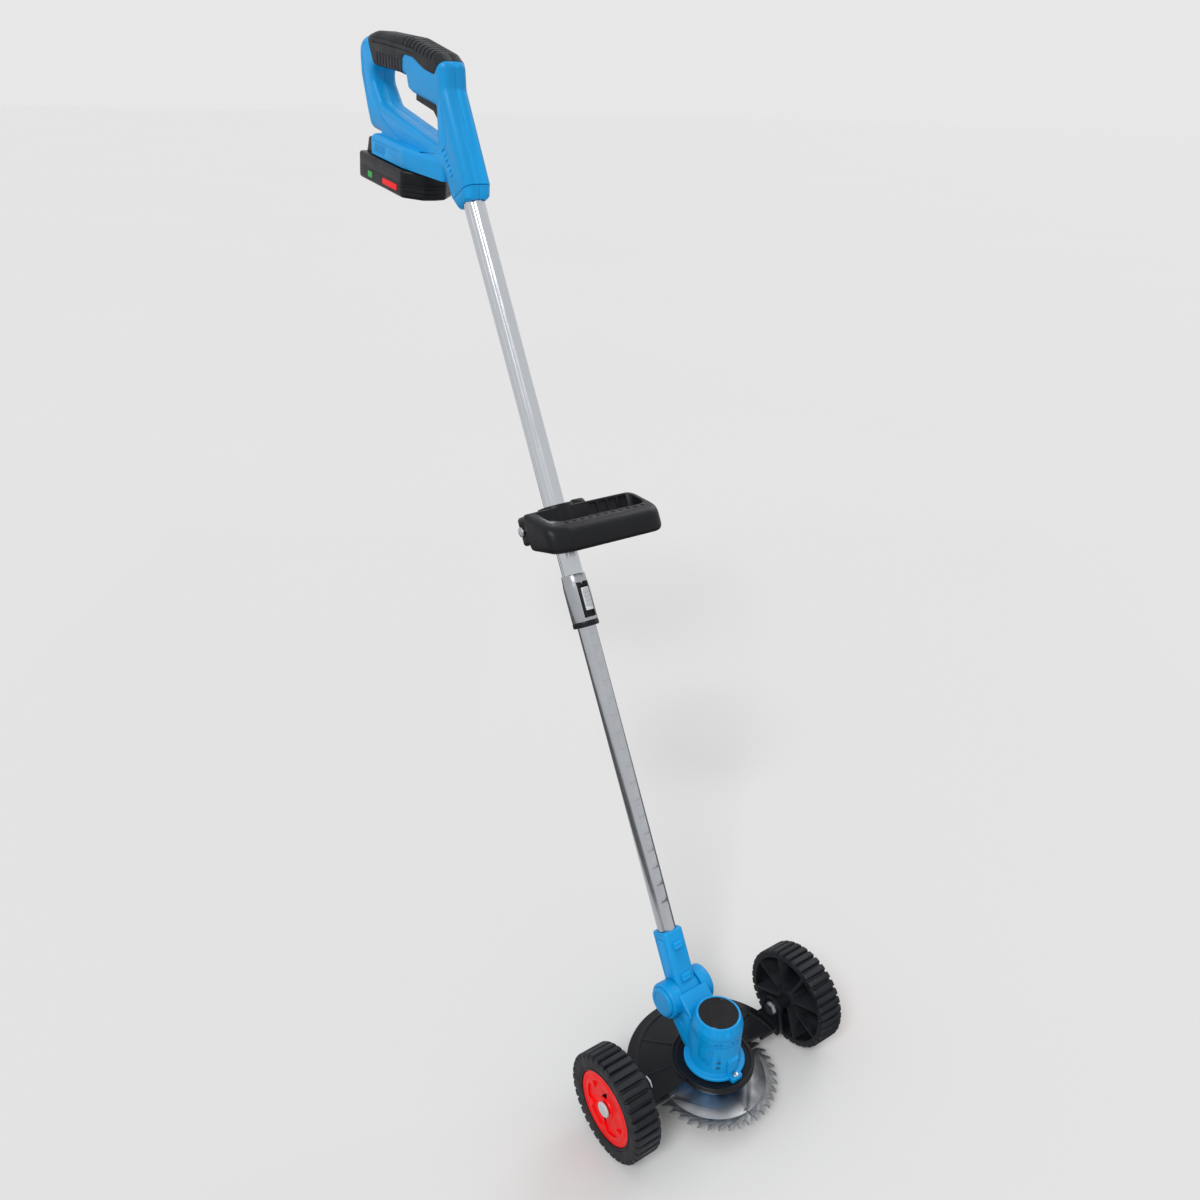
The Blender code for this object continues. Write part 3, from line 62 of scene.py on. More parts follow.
# Sizes that the frame doesn't state, in millimetres
GUARD_RADIUS = 101.0
GUARD_TOP = 47.2
GUARD_WALL = 2.8
GUARD_DROP = 9.0
GUARD_RIM = 10.5
GUARD_HUB_RADIUS = 41.0
LUG_INNER = 95.6
LUG_THICKNESS = 6.0
LUG_RADIUS = 13.0
AXLE_RADIUS = 4.0
WHEEL_INNER = 119.6
WHEEL_WIDTH = 32.0
WHEEL_BLOCKS = 36
TREAD_DEPTH = 3.6
HUB_COVER_RADIUS = 42.0
DISC_RADIUS = 75.0
DISC_TEETH = 40
DISC_THICKNESS = 1.8
TOOTH_DEPTH = 7.6
SLOT_LENGTH = 17.5
SLOT_WIDTH = 1.8
SPINDLE_RADIUS = 4.7
MOTOR_RADIUS = 28.5
MOTOR_WALL = 2.6
MOTOR_FLANGE_RADIUS = 35.0
MOTOR_FLANGE_THICKNESS = 4.0
MOTOR_BODY_TOP = 94.7
CAP_TOP = 116.6
CAP_FACE_RADIUS = 24.4
BADGE_RADIUS = 22.6
DRUM_RADIUS = 21.0
DRUM_HALF_LENGTH = 30.0
EYE_RADIUS = 18.5
EYE_HALF_WIDTH = 14.0
PIVOT_PIN_RADIUS = 5.0
PIVOT_BUTTON_RADIUS = 17.2
PIVOT_BUTTON_TRAVEL = 4.0
PIVOT_ALONG_POLE = 76.0
SOCKET_SIDE = 27.0
SOCKET_DEPTH = 50.0
LOWER_TUBE_RADIUS = 11.0
LOWER_TUBE_WALL = 1.4
NOTCH_COUNT = 17
NOTCH_PITCH = 20.5
UPPER_TUBE_RADIUS = 12.5
UPPER_TUBE_CLEARANCE = 0.4
SLEEVE_FOOT = 366.0
SLEEVE_LENGTH = 62.0
SLEEVE_RADIUS = 15.2
COLLAR_HEIGHT = 6.0
LOWER_TUBE_TOP = 600.0
HANDLE_ALONG_POLE = 866.0
TUBE_IN_HANDLE = 78.0
LOOP_HEIGHT_ON_POLE = 490.0
LOOP_LEFT = -54.0
LOOP_RIGHT = 100.0
LOOP_FRONT = -68.0
LOOP_WALL = 6.0
LOOP_BAR = 17.0
CLAMP_EAR_LEFT = -40.0
CLAMP_EAR_RIGHT = 28.5
CLAMP_BOLT_RADIUS = 3.0
KNOB_RADIUS = 26.0
KNOB_THICKNESS = 16.0
HANDLE_HALF_WIDTH = 17.0
HANDLE_EDGE = 9.0
SHELL_WALL = 2.8
GRIP_COVER_THICKNESS = 1.6
TRIGGER_HALF_WIDTH = 7.0
DOCK_SLOPE = math.radians(8.0)
DOCK_HALF_WIDTH = 30.0
DOCK_LENGTH = 85.0
DOCK_HEIGHT = 23.5
RAIL_NECK_HALF = 19.0
RAIL_HEAD_HALF = 23.0
RAIL_NECK_HEIGHT = 5.0
RAIL_HEIGHT = 12.0
BATTERY_HALF_WIDTH = 35.0
BATTERY_FRONT = -36.0
BATTERY_REAR = 109.0
BATTERY_HEIGHT = 31.5
BATTERY_WALL = 2.0

# ---------------------------------------------------------------- places from the frame

JOINTS = {joint["name"]: joint for joint in frame["joints"]}
DISC_AXIS = Vector(JOINTS["disc_spin"]["pos_m"]) / MM
PIVOT = Vector(JOINTS["head_tilt"]["pos_m"]) / MM
WHEEL_CENTRE = Vector(JOINTS["right_wheel_spin"]["pos_m"]) / MM
ALONG_POLE = Vector(JOINTS["telescope"]["axis"]).normalized()
POLE_TILT = math.atan2(ALONG_POLE.y, ALONG_POLE.z)
POLE_FOOT = PIVOT + ALONG_POLE * PIVOT_ALONG_POLE
HANDLE_FOOT = POLE_FOOT + ALONG_POLE * HANDLE_ALONG_POLE
DOCK_PLACE = Vector((0.0, 127.3, 32.5))


def place_matrix(place, angle=0.0):
    return Matrix.Translation(place * MM) @ Matrix.Rotation(angle, 4, "X")


HEAD = place_matrix(Vector((DISC_AXIS.x, DISC_AXIS.y, 0.0)))
POLE = place_matrix(POLE_FOOT, -POLE_TILT)
HANDLE = place_matrix(HANDLE_FOOT)
DOCK = HANDLE @ place_matrix(DOCK_PLACE, DOCK_SLOPE)
PIVOT_Y = PIVOT.y - DISC_AXIS.y
PIVOT_Z = PIVOT.z
WHEEL_Y = WHEEL_CENTRE.y - DISC_AXIS.y
WHEEL_RADIUS = WHEEL_CENTRE.z
DISC_HEIGHT = DISC_AXIS.z
FRONT_SCREW_Y = -MOTOR_RADIUS - 7.0


# ---------------------------------------------------------------- outlines


def circle(radius, steps, centre=(0.0, 0.0)):
    angles = [math.tau * i / steps for i in range(steps)]
    return [(centre[0] + radius * math.cos(a), centre[1] + radius * math.sin(a)) for a in angles]


def arc(centre, radius, start, end, steps):
    """Points on an arc, with its angles in degrees and both ends included."""
    angles = [math.radians(start + (end - start) * i / steps) for i in range(steps + 1)]
    return [(centre[0] + radius * math.cos(a), centre[1] + radius * math.sin(a)) for a in angles]


def rounded(points, radius, steps=8):
    """The closed outline with each corner replaced by a curve. radius is one number or one per corner."""
    radii = radius if isinstance(radius, (list, tuple)) else [radius] * len(points)
    result = []
    for i, corner in enumerate(points):
        here = Vector(corner)
        before = Vector(points[i - 1]) - here
        after = Vector(points[(i + 1) % len(points)]) - here
        half = before.angle(after) / 2.0
        reach = min(radii[i] / math.tan(half), 0.49 * before.length, 0.49 * after.length)
        if reach < 0.05 or half > math.radians(88.0):
            result.append(tuple(here))
            continue
        start = here + before.normalized() * reach
        end = here + after.normalized() * reach
        for k in range(steps + 1):
            s = k / steps
            blend = (1 - s) ** 2 * start + 2 * s * (1 - s) * here + s * s * end
            result.append(tuple(blend))
    return result


def cornered(corners, steps):
    """A rounded outline from (u, v, radius) corners."""
    return rounded([(u, v) for u, v, r in corners], [r for u, v, r in corners], steps)


def sided(side, near, far):
    """The two places on the side given by -1 or 1, lowest first."""
    return sorted((side * near, side * far))


def area(points):
    pairs = zip(points, points[1:] + points[:1])
    return sum(a[0] * b[1] - b[0] * a[1] for a, b in pairs) / 2.0


def inset(points, distance):
    """The outline moved inwards by distance, or outwards if it is negative."""
    sign = 1.0 if area(points) > 0 else -1.0
    result = []
    for i, corner in enumerate(points):
        here = Vector(corner)
        into = (here - Vector(points[i - 1])).normalized()
        out = (Vector(points[(i + 1) % len(points)]) - here).normalized()
        normal = Vector((-into.y - out.y, into.x + out.x)) * sign
        if normal.length < 1e-6:
            normal = Vector((-into.y, into.x)) * sign
        normal.normalize()
        cosine = max(0.4, normal.dot(Vector((-into.y, into.x)) * sign))
        result.append(tuple(here + normal * distance / cosine))
    return result


# ---------------------------------------------------------------- solids


def turned_to(a, b, h, axis):
    return {"X": (h, a, b), "Y": (b, h, a), "Z": (a, b, h)}[axis]


@contextlib.contextmanager
def edited(mesh):
    """The mesh as a bmesh, written back at the end."""
    work = bmesh.new()
    work.from_mesh(mesh)
    yield work
    work.to_mesh(mesh)
    work.free()


def linked(data, name="work"):
    made = bpy.data.objects.new(name, data)
    bpy.context.scene.collection.objects.link(made)
    return made


def settled(obj):
    """The object's mesh with its modifiers applied."""
    bpy.context.view_layer.update()
    mesh = bpy.data.meshes.new_from_object(obj.evaluated_get(bpy.context.evaluated_depsgraph_get()))
    obj.modifiers.clear()
    return mesh


def fix_normals(obj):
    with edited(obj.data) as work:
        bmesh.ops.recalc_face_normals(work, faces=work.faces)
    return obj


def solid(vertices, faces):
    mesh = bpy.data.meshes.new("work")
    mesh.from_pydata([tuple(Vector(v) * MM) for v in vertices], [], faces)
    return fix_normals(linked(mesh))


def skin(rows, closed=False):
    """Skins rows of 3-D points. An open stack gets flat ends."""
    count = len(rows[0])
    vertices = [v for row in rows for v in row]
    faces = []
    for r in range(len(rows) if closed else len(rows) - 1):
        low = r * count
        high = ((r + 1) % len(rows)) * count
        faces += [(low + i, low + (i + 1) % count, high + (i + 1) % count, high + i) for i in range(count)]
    if not closed:
        faces.append(tuple(reversed(range(count))))
        faces.append(tuple(range((len(rows) - 1) * count, len(rows) * count)))
    return solid(vertices, faces)


def loft(layers, axis="Z", closed=False):
    return skin([[turned_to(a, b, h, axis) for a, b in points] for h, points in layers], closed)


def prism(outline, low, high, axis="Z"):
    return loft([(low, outline), (high, outline)], axis)


def turned(profile, steps, axis="Z", centre=(0.0, 0.0), closed=False):
    """Revolves (radius, height) points. A closed profile makes a ring, an open one has flat ends."""
    return loft([(h, circle(r, steps, centre)) for r, h in profile], axis, closed)


def ring(inner, outer, low, high, steps, axis="Z", centre=(0.0, 0.0), edge=0.0):
    if edge == 0.0:
        profile = [(inner, low), (outer, low), (outer, high), (inner, high)]
    else:
        profile = rounded([(inner, low), (outer, low), (outer, high), (inner, high)], edge, 3)
    return turned(profile, steps, axis, centre, closed=True)


def rod(radius, low, high, steps, axis="Z", centre=(0.0, 0.0), edge=0.0):
    if edge == 0.0:
        return turned([(radius, low), (radius, high)], steps, axis, centre)
    profile = []
    for k in range(4):
        angle = math.pi / 2 * k / 3
        profile.append((radius - edge * (1 - math.sin(angle)), low + edge * (1 - math.cos(angle))))
    profile += [(r, low + high - h) for r, h in reversed(profile)]
    return turned(profile, steps, axis, centre)


def pillow(outline, half_width, edge, steps=6, flare=False):
    """The outline extruded both ways along X with rounded edges. A flared one widens outwards, for holes."""
    side = -1.0 if flare else 1.0
    layers = []
    for k in range(steps + 1):
        angle = math.pi / 2 * k / steps
        shrink = side * edge * (1 - math.cos(angle))
        layers.append((half_width - edge * (1 - math.sin(angle)), inset(outline, shrink)))
    layers.reverse()
    if flare:
        layers.insert(0, (half_width + 1.0, layers[0][1]))
    return loft([(-h, p) for h, p in layers] + [(h, p) for h, p in reversed(layers)], "X")


def block(low, high, bevel=0.0, steps=2):
    outline = [(low[0], low[1]), (high[0], low[1]), (high[0], high[1]), (low[0], high[1])]
    made = prism(outline, low[2], high[2])
    if bevel:
        with edited(made.data) as work:
            edges = list(work.edges)
            bmesh.ops.bevel(work, geom=edges, offset=bevel * MM, segments=steps, profile=0.5, affect="EDGES")
    return made


def moved(obj, offset):
    obj.data.transform(Matrix.Translation(Vector(offset) * MM))
    return obj


def swung(obj, angle, pivot=(0.0, 0.0, 0.0), axis="X"):
    """The object turned by angle about an axis through pivot, in millimetres."""
    place = Matrix.Translation(Vector(pivot) * MM)
    obj.data.transform(place @ Matrix.Rotation(angle, 4, axis) @ place.inverted())
    return obj


def transform(obj, matrix):
    obj.data.transform(matrix)
    return obj


def duplicate(obj):
    return linked(obj.data.copy())


def merged(objects):
    """Several separate closed solids as one object, to cut or join in one step."""
    mesh = bpy.data.meshes.new("work")
    with edited(mesh) as work:
        for obj in objects:
            work.from_mesh(obj.data)
            bpy.data.objects.remove(obj, do_unlink=True)
    return linked(mesh)


def combine(target, tools, operation):
    for tool in tools:
        step = target.modifiers.new(operation, "BOOLEAN")
        step.operation = operation
        step.solver = "EXACT"
        step.object = tool
        result = settled(target)
        with edited(result) as work:
            bmesh.ops.remove_doubles(work, verts=work.verts, dist=WELD * MM)
            bmesh.ops.dissolve_degenerate(work, edges=work.edges, dist=WELD / 2 * MM)
        target.data = result
        bpy.data.objects.remove(tool, do_unlink=True)
    return target


def cut(target, *tools):
    return combine(target, tools, "DIFFERENCE")


def join(target, *tools):
    return combine(target, tools, "UNION")


def common(target, *tools):
    return combine(target, tools, "INTERSECT")


def piece(obj, name, place, body, look, nodes=(), bevel=0.0, sharp=32.0):
    """Finishes a solid as a visible piece: its frame, edges, shading, material, body and CAD nodes."""
    obj.name = name
    obj.data.name = name
    obj.matrix_world = place
    obj.data.materials.clear()
    obj.data.materials.append(LOOKS[look])
    if bevel:
        edge = obj.modifiers.new("edges", "BEVEL")
        edge.width = bevel * MM
        edge.segments = 2
        edge.limit_method = "ANGLE"
        edge.angle_limit = math.radians(sharp)
        edge.use_clamp_overlap = True
        obj.data = settled(obj)
    obj.data.shade_smooth()
    obj.data.set_sharp_from_angle(angle=math.radians(sharp))
    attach(obj, body)
    if nodes:
        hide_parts(*nodes)
    return obj


# ---------------------------------------------------------------- materials


class Nodes:
    """A small builder of node materials. Each value is a socket or a number."""

    def __init__(self, name):
        self.material = bpy.data.materials.new(name)
        self.material.use_nodes = True
        self.tree = self.material.node_tree
        self.shader = self.tree.nodes["Principled BSDF"]
        self.place = self.tree.nodes.new("ShaderNodeTexCoord").outputs["Object"]

    def put(self, socket, value):
        if isinstance(value, bpy.types.NodeSocket):
            self.tree.links.new(value, socket)
        else:
            socket.default_value = value

    def math(self, operation, a, b=0.0):
        node = self.tree.nodes.new("ShaderNodeMath")
        node.operation = operation
        for socket, value in zip(node.inputs, (a, b)):
            self.put(socket, value)
        return node.outputs[0]

    def axes(self):
        node = self.tree.nodes.new("ShaderNodeSeparateXYZ")
        self.put(node.inputs[0], self.place)
        return node.outputs

    def vector(self, x, y, z):
        node = self.tree.nodes.new("ShaderNodeCombineXYZ")
        for socket, value in zip(node.inputs, (x, y, z)):
            self.put(socket, value)
        return node.outputs[0]

    def stretched(self, factors):
        node = self.tree.nodes.new("ShaderNodeMapping")
        self.put(node.inputs["Vector"], self.place)
        node.inputs["Scale"].default_value = factors
        return node.outputs[0]

    def noise(self, scale, detail=3.0, place=None):
        node = self.tree.nodes.new("ShaderNodeTexNoise")
        self.put(node.inputs["Vector"], place or self.place)
        node.inputs["Scale"].default_value = scale
        node.inputs["Detail"].default_value = detail
        return node.outputs["Fac"]

    def cells(self, scale):
        node = self.tree.nodes.new("ShaderNodeTexVoronoi")
        self.put(node.inputs["Vector"], self.place)
        node.inputs["Scale"].default_value = scale
        return node.outputs["Distance"]

    def ramp(self, value, stops):
        node = self.tree.nodes.new("ShaderNodeValToRGB")
        self.put(node.inputs[0], value)
        elements = node.color_ramp.elements
        while len(elements) < len(stops):
            elements.new(0.5)
        for element, (position, colour) in zip(elements, stops):
            element.position = position
            element.color = colour
        return node.outputs[0]

    def span(self, value, low, high, to_low, to_high):
        node = self.tree.nodes.new("ShaderNodeMapRange")
        for socket, number in zip(node.inputs, (value, low, high, to_low, to_high)):
            self.put(socket, number)
        return node.outputs[0]

    def mix(self, factor, a, b):
        node = self.tree.nodes.new("ShaderNodeMix")
        node.data_type = "RGBA"
        self.put(node.inputs["Factor"], factor)
        self.put(node.inputs[6], a)
        self.put(node.inputs[7], b)
        return node.outputs[2]

    def bump(self, height, strength, distance, below=None):
        node = self.tree.nodes.new("ShaderNodeBump")
        node.inputs["Strength"].default_value = strength
        node.inputs["Distance"].default_value = distance
        self.put(node.inputs["Height"], height)
        if below is not None:
            self.put(node.inputs["Normal"], below)
        return node.outputs[0]

    def edges(self):
        """Near 1 on convex edges, where plastic and paint wear first."""
        geometry = self.tree.nodes.new("ShaderNodeNewGeometry")
        return self.span(geometry.outputs["Pointiness"], 0.53, 0.6, 0.0, 1.0)


def srgb(r, g, b):
    linear = [((c / 255.0 + 0.055) / 1.055) ** 2.4 if c > 10 else c / 255.0 / 12.92 for c in (r, g, b)]
    return (*linear, 1.0)


def shade(colour, factor):
    return tuple(min(1.0, c * factor) for c in colour[:3]) + (1.0,)


def moulded(name, colour, roughness, grain=900.0, depth=0.00006, gloss=0.22, vary=0.12, coat=0.0):
    """Moulded plastic with a fine sparked grain, soft colour drift and slightly polished edges."""
    n = Nodes(name)
    drift = n.noise(14.0, 2.0)
    cloud = n.ramp(drift, [(0.3, shade(colour, 1.0 - vary)), (0.7, shade(colour, 1.0 + vary))])
    tone = n.mix(n.edges(), cloud, shade(colour, 1.0 + 3.0 * vary))
    n.put(n.shader.inputs["Base Color"], tone)
    spots = n.noise(55.0, 4.0)
    n.put(n.shader.inputs["Roughness"], n.span(spots, 0.3, 0.7, roughness - 0.06, roughness + 0.07))
    fine = n.noise(grain * 2.0, 2.0)
    broad = n.noise(30.0, 1.0)
    below = n.bump(broad, 0.25, 0.0004)
    n.put(n.shader.inputs["Normal"], n.bump(fine, 0.35, depth * 6.0, below))
    n.shader.inputs["Specular IOR Level"].default_value = gloss
    if coat:
        n.shader.inputs["Coat Weight"].default_value = coat
        n.shader.inputs["Coat Roughness"].default_value = 0.12
    return n.material


def tyre(name, colour):
    """Hard dark plastic or rubber with dusty crevices and a coarse grain."""
    n = Nodes(name)
    dust = n.noise(70.0, 5.0)
    tone = n.ramp(dust, [(0.35, shade(colour, 0.8)), (0.72, shade(colour, 1.9))])
    n.put(n.shader.inputs["Base Color"], n.mix(n.edges(), tone, shade(colour, 2.6)))
    n.put(n.shader.inputs["Roughness"], n.span(dust, 0.3, 0.7, 0.42, 0.66))
    n.shader.inputs["Specular IOR Level"].default_value = 0.22
    pits = n.cells(1400.0)
    below = n.bump(n.noise(240.0, 3.0), 0.3, 0.0004)
    n.put(n.shader.inputs["Normal"], n.bump(pits, 0.25, 0.0002, below))
    return n.material


def metal(name, colour, roughness, grain=(1.0, 1.0, 1.0), strength=0.12):
    """Bare metal with fine drawn or turned lines along the short direction of grain."""
    n = Nodes(name)
    lines = n.noise(1800.0, 3.0, n.stretched(grain))
    blotch = n.noise(28.0, 3.0)
    tone = n.ramp(blotch, [(0.3, shade(colour, 0.94)), (0.7, shade(colour, 1.03))])
    n.put(n.shader.inputs["Base Color"], n.mix(n.edges(), tone, shade(colour, 1.2)))
    n.shader.inputs["Metallic"].default_value = 1.0
    rough = n.math(
        "ADD",
        n.span(lines, 0.3, 0.7, -0.05, 0.06),
        n.span(blotch, 0.3, 0.7, roughness - 0.02, roughness + 0.02),
    )
    n.put(n.shader.inputs["Roughness"], rough)
    n.put(n.shader.inputs["Normal"], n.bump(lines, strength, 0.00015))
    return n.material


def disc_metal():
    """Rolled saw steel: turned rings, with painted reflections as bright and dark sectors inside, a duller
    rim outside.
    """
    n = Nodes("disc_steel")
    axes = n.axes()
    radius = n.math(
        "SQRT", n.math("ADD", n.math("MULTIPLY", axes[0], axes[0]), n.math("MULTIPLY", axes[1], axes[1]))
    )
    angle = n.math("ARCTAN2", axes[1], axes[0])
    rings = n.noise(
        1.0, 3.0, n.vector(n.math("MULTIPLY", radius, 2600.0), n.math("MULTIPLY", angle, 0.6), 0.0)
    )
    # Painted reflection: noise by angle makes the polished centre bright and dark in sectors, standing in for
    # the studio reflected in it
    reflection_sector = n.noise(
        1.0, 2.0, n.vector(n.math("SINE", angle), n.math("COSINE", angle), n.math("MULTIPLY", radius, 14.0))
    )
    painted_reflection = n.ramp(
        reflection_sector, [(0.35, srgb(120, 122, 126)), (0.5, srgb(190, 192, 196)), (0.65, srgb(232, 233, 236))]
    )
    outside = n.math("GREATER_THAN", radius, 0.0612)
    rim = n.ramp(n.noise(90.0, 4.0), [(0.3, srgb(120, 122, 124)), (0.7, srgb(158, 160, 162))])
    n.put(n.shader.inputs["Base Color"], n.mix(outside, painted_reflection, rim))
    n.shader.inputs["Metallic"].default_value = 1.0
    inner = n.span(rings, 0.3, 0.7, 0.34, 0.46)
    outer = n.span(n.noise(160.0, 3.0), 0.3, 0.7, 0.42, 0.56)
    rough = n.math(
        "ADD", n.math("MULTIPLY", inner, n.math("SUBTRACT", 1.0, outside)), n.math("MULTIPLY", outer, outside)
    )
    n.put(n.shader.inputs["Roughness"], rough)
    n.put(n.shader.inputs["Normal"], n.bump(rings, 0.2, 0.0002))
    return n.material


def banded(name, colour, other, axis, pitch, share):
    """Plastic with a second colour in bands, as on a wound coil or a cell's sleeve."""
    n = Nodes(name)
    height = n.axes()[axis]
    wave = n.math("FRACT", n.math("DIVIDE", height, pitch))
    band = n.math("GREATER_THAN", wave, share)
    cloud = n.ramp(n.noise(40.0, 3.0), [(0.3, shade(colour, 0.85)), (0.7, shade(colour, 1.15))])
    n.put(n.shader.inputs["Base Color"], n.mix(band, cloud, other))
    n.put(n.shader.inputs["Roughness"], n.span(n.noise(80.0, 3.0), 0.3, 0.7, 0.35, 0.45))
    n.put(n.shader.inputs["Normal"], n.bump(wave, 0.2, 0.0002))
    return n.material


BLUE = srgb(0, 134, 196)
BLACK = srgb(17, 18, 22)
RED = srgb(216, 1, 3)

LOOKS = {
    "blue": moulded("blue_plastic", BLUE, 0.4, vary=0.06, gloss=0.26),
    "black": moulded("black_plastic", BLACK, 0.36, gloss=0.2),
    "soft_black": moulded("grip_rubber", srgb(22, 24, 30), 0.46, grain=1400.0, depth=0.00009, gloss=0.2),
    "gloss": moulded("black_gloss", srgb(18, 18, 21), 0.18, coat=0.12, gloss=0.15, depth=0.00002),
    "grey": moulded("grey_plastic", srgb(112, 116, 122), 0.4),
    "light_grey": moulded("light_grey_plastic", srgb(168, 171, 174), 0.36),
    "red": moulded("red_plastic", RED, 0.32, vary=0.06, gloss=0.16),
    "green": moulded("green_plastic", srgb(40, 150, 60), 0.4),
    "wheel": tyre("wheel_black", srgb(17, 18, 22)),
    "tube": metal("tube_aluminium", srgb(186, 189, 194), 0.2, (1.0, 1.0, 0.02), 0.06),
    "silver": metal("silver", srgb(172, 175, 180), 0.24, (1.0, 1.0, 0.05), 0.08),
    "steel": metal("steel", srgb(188, 190, 194), 0.28, (0.1, 1.0, 1.0)),
    "dark_steel": metal("steel_dark", srgb(92, 94, 98), 0.42),
    "brass": metal("brass", srgb(205, 160, 84), 0.32),
    "disc": disc_metal(),
    "winding": banded("copper_winding", srgb(170, 88, 44), srgb(70, 34, 18), 2, 0.0011, 0.7),
    "cell": banded("cell_sleeve", srgb(30, 110, 150), srgb(180, 182, 186), 0, 0.064, 0.92),
}

# CAD nodes that keep their own mesh
KEPT = {
    "spindle": "steel",
    "upper_disc_flange": "steel",
    "lower_disc_flange": "steel",
    "disc_nut": "steel",
    "motor_rotor": "dark_steel",
    "motor_can": "winding",
    "lower_motor_bearing": "steel",
    "upper_motor_bearing": "steel",
    "pivot_pin": "steel",
    "base_ring": "blue",
    "left_axle_bolt": "steel",
    "right_axle_bolt": "steel",
    "left_axle_spacer": "black",
    "right_axle_spacer": "black",
    "trigger_switch": "gloss",
    "battery_terminal_block": "gloss",
    "terminal_contact_left": "brass",
    "terminal_contact_right": "brass",
}
for number in range(1, 6):
    KEPT[f"battery_cell_{number}"] = "cell"

for name, look in KEPT.items():
    node = frame["nodes"][name]
    if not node.material_slots:
        node.data.materials.append(LOOKS[look])
    for index in range(len(node.material_slots)):
        node.material_slots[index].material = LOOKS[look]


# ---------------------------------------------------------------- disc


def disc_outline():
    """Hooked teeth leaning clockwise from above, with a keyhole expansion slot in some gullets."""
    pitch = math.tau / DISC_TEETH
    gullet = DISC_RADIUS - TOOTH_DEPTH
    points = []

    def add(radius, share, k):
        angle = (k + share) * pitch
        points.append((radius * math.cos(angle), radius * math.sin(angle)))

    for k in range(DISC_TEETH):
        if k % 10 == 0:
            angle = (k - 0.12) * pitch
            along = Vector((math.cos(angle), math.sin(angle)))
            side = Vector((-along.y, along.x)) * SLOT_WIDTH / 2
            foot = DISC_RADIUS - SLOT_LENGTH
            points.append(tuple(along * gullet - side))
            points.append(tuple(along * (foot + SLOT_WIDTH) - side))
            points += arc(along * foot, SLOT_WIDTH, math.degrees(angle) - 30, math.degrees(angle) - 330, 18)
            points.append(tuple(along * (foot + SLOT_WIDTH) + side))
            points.append(tuple(along * gullet + side))
        else:
            add(gullet + 0.6, -0.28, k)
            add(gullet + 0.1, -0.18, k)
            add(gullet, -0.05, k)
        add(gullet + 1.2, 0.04, k)
        add(gullet + 4.0, 0.05, k)
        add(DISC_RADIUS, -0.02, k)
        add(DISC_RADIUS - 0.8, 0.2, k)
        add(gullet + 4.6, 0.4, k)
        add(gullet + 2.2, 0.58, k)
    return points


def build_disc():
    low = DISC_HEIGHT - DISC_THICKNESS / 2
    high = DISC_HEIGHT + DISC_THICKNESS / 2
    disc = prism(disc_outline(), low, high)
    cut(disc, rod(SPINDLE_RADIUS + GAP, low - 1, high + 1, MEDIUM_ROUND))
    groove = ring(60.8, 61.6, high - 0.18, high + 1.0, LARGE_ROUND)
    cut(disc, groove)
    piece(disc, "saw_disc", HEAD, "disc", "disc", ["cutting_disc"], 0.12, 24.0)


# ---------------------------------------------------------------- head


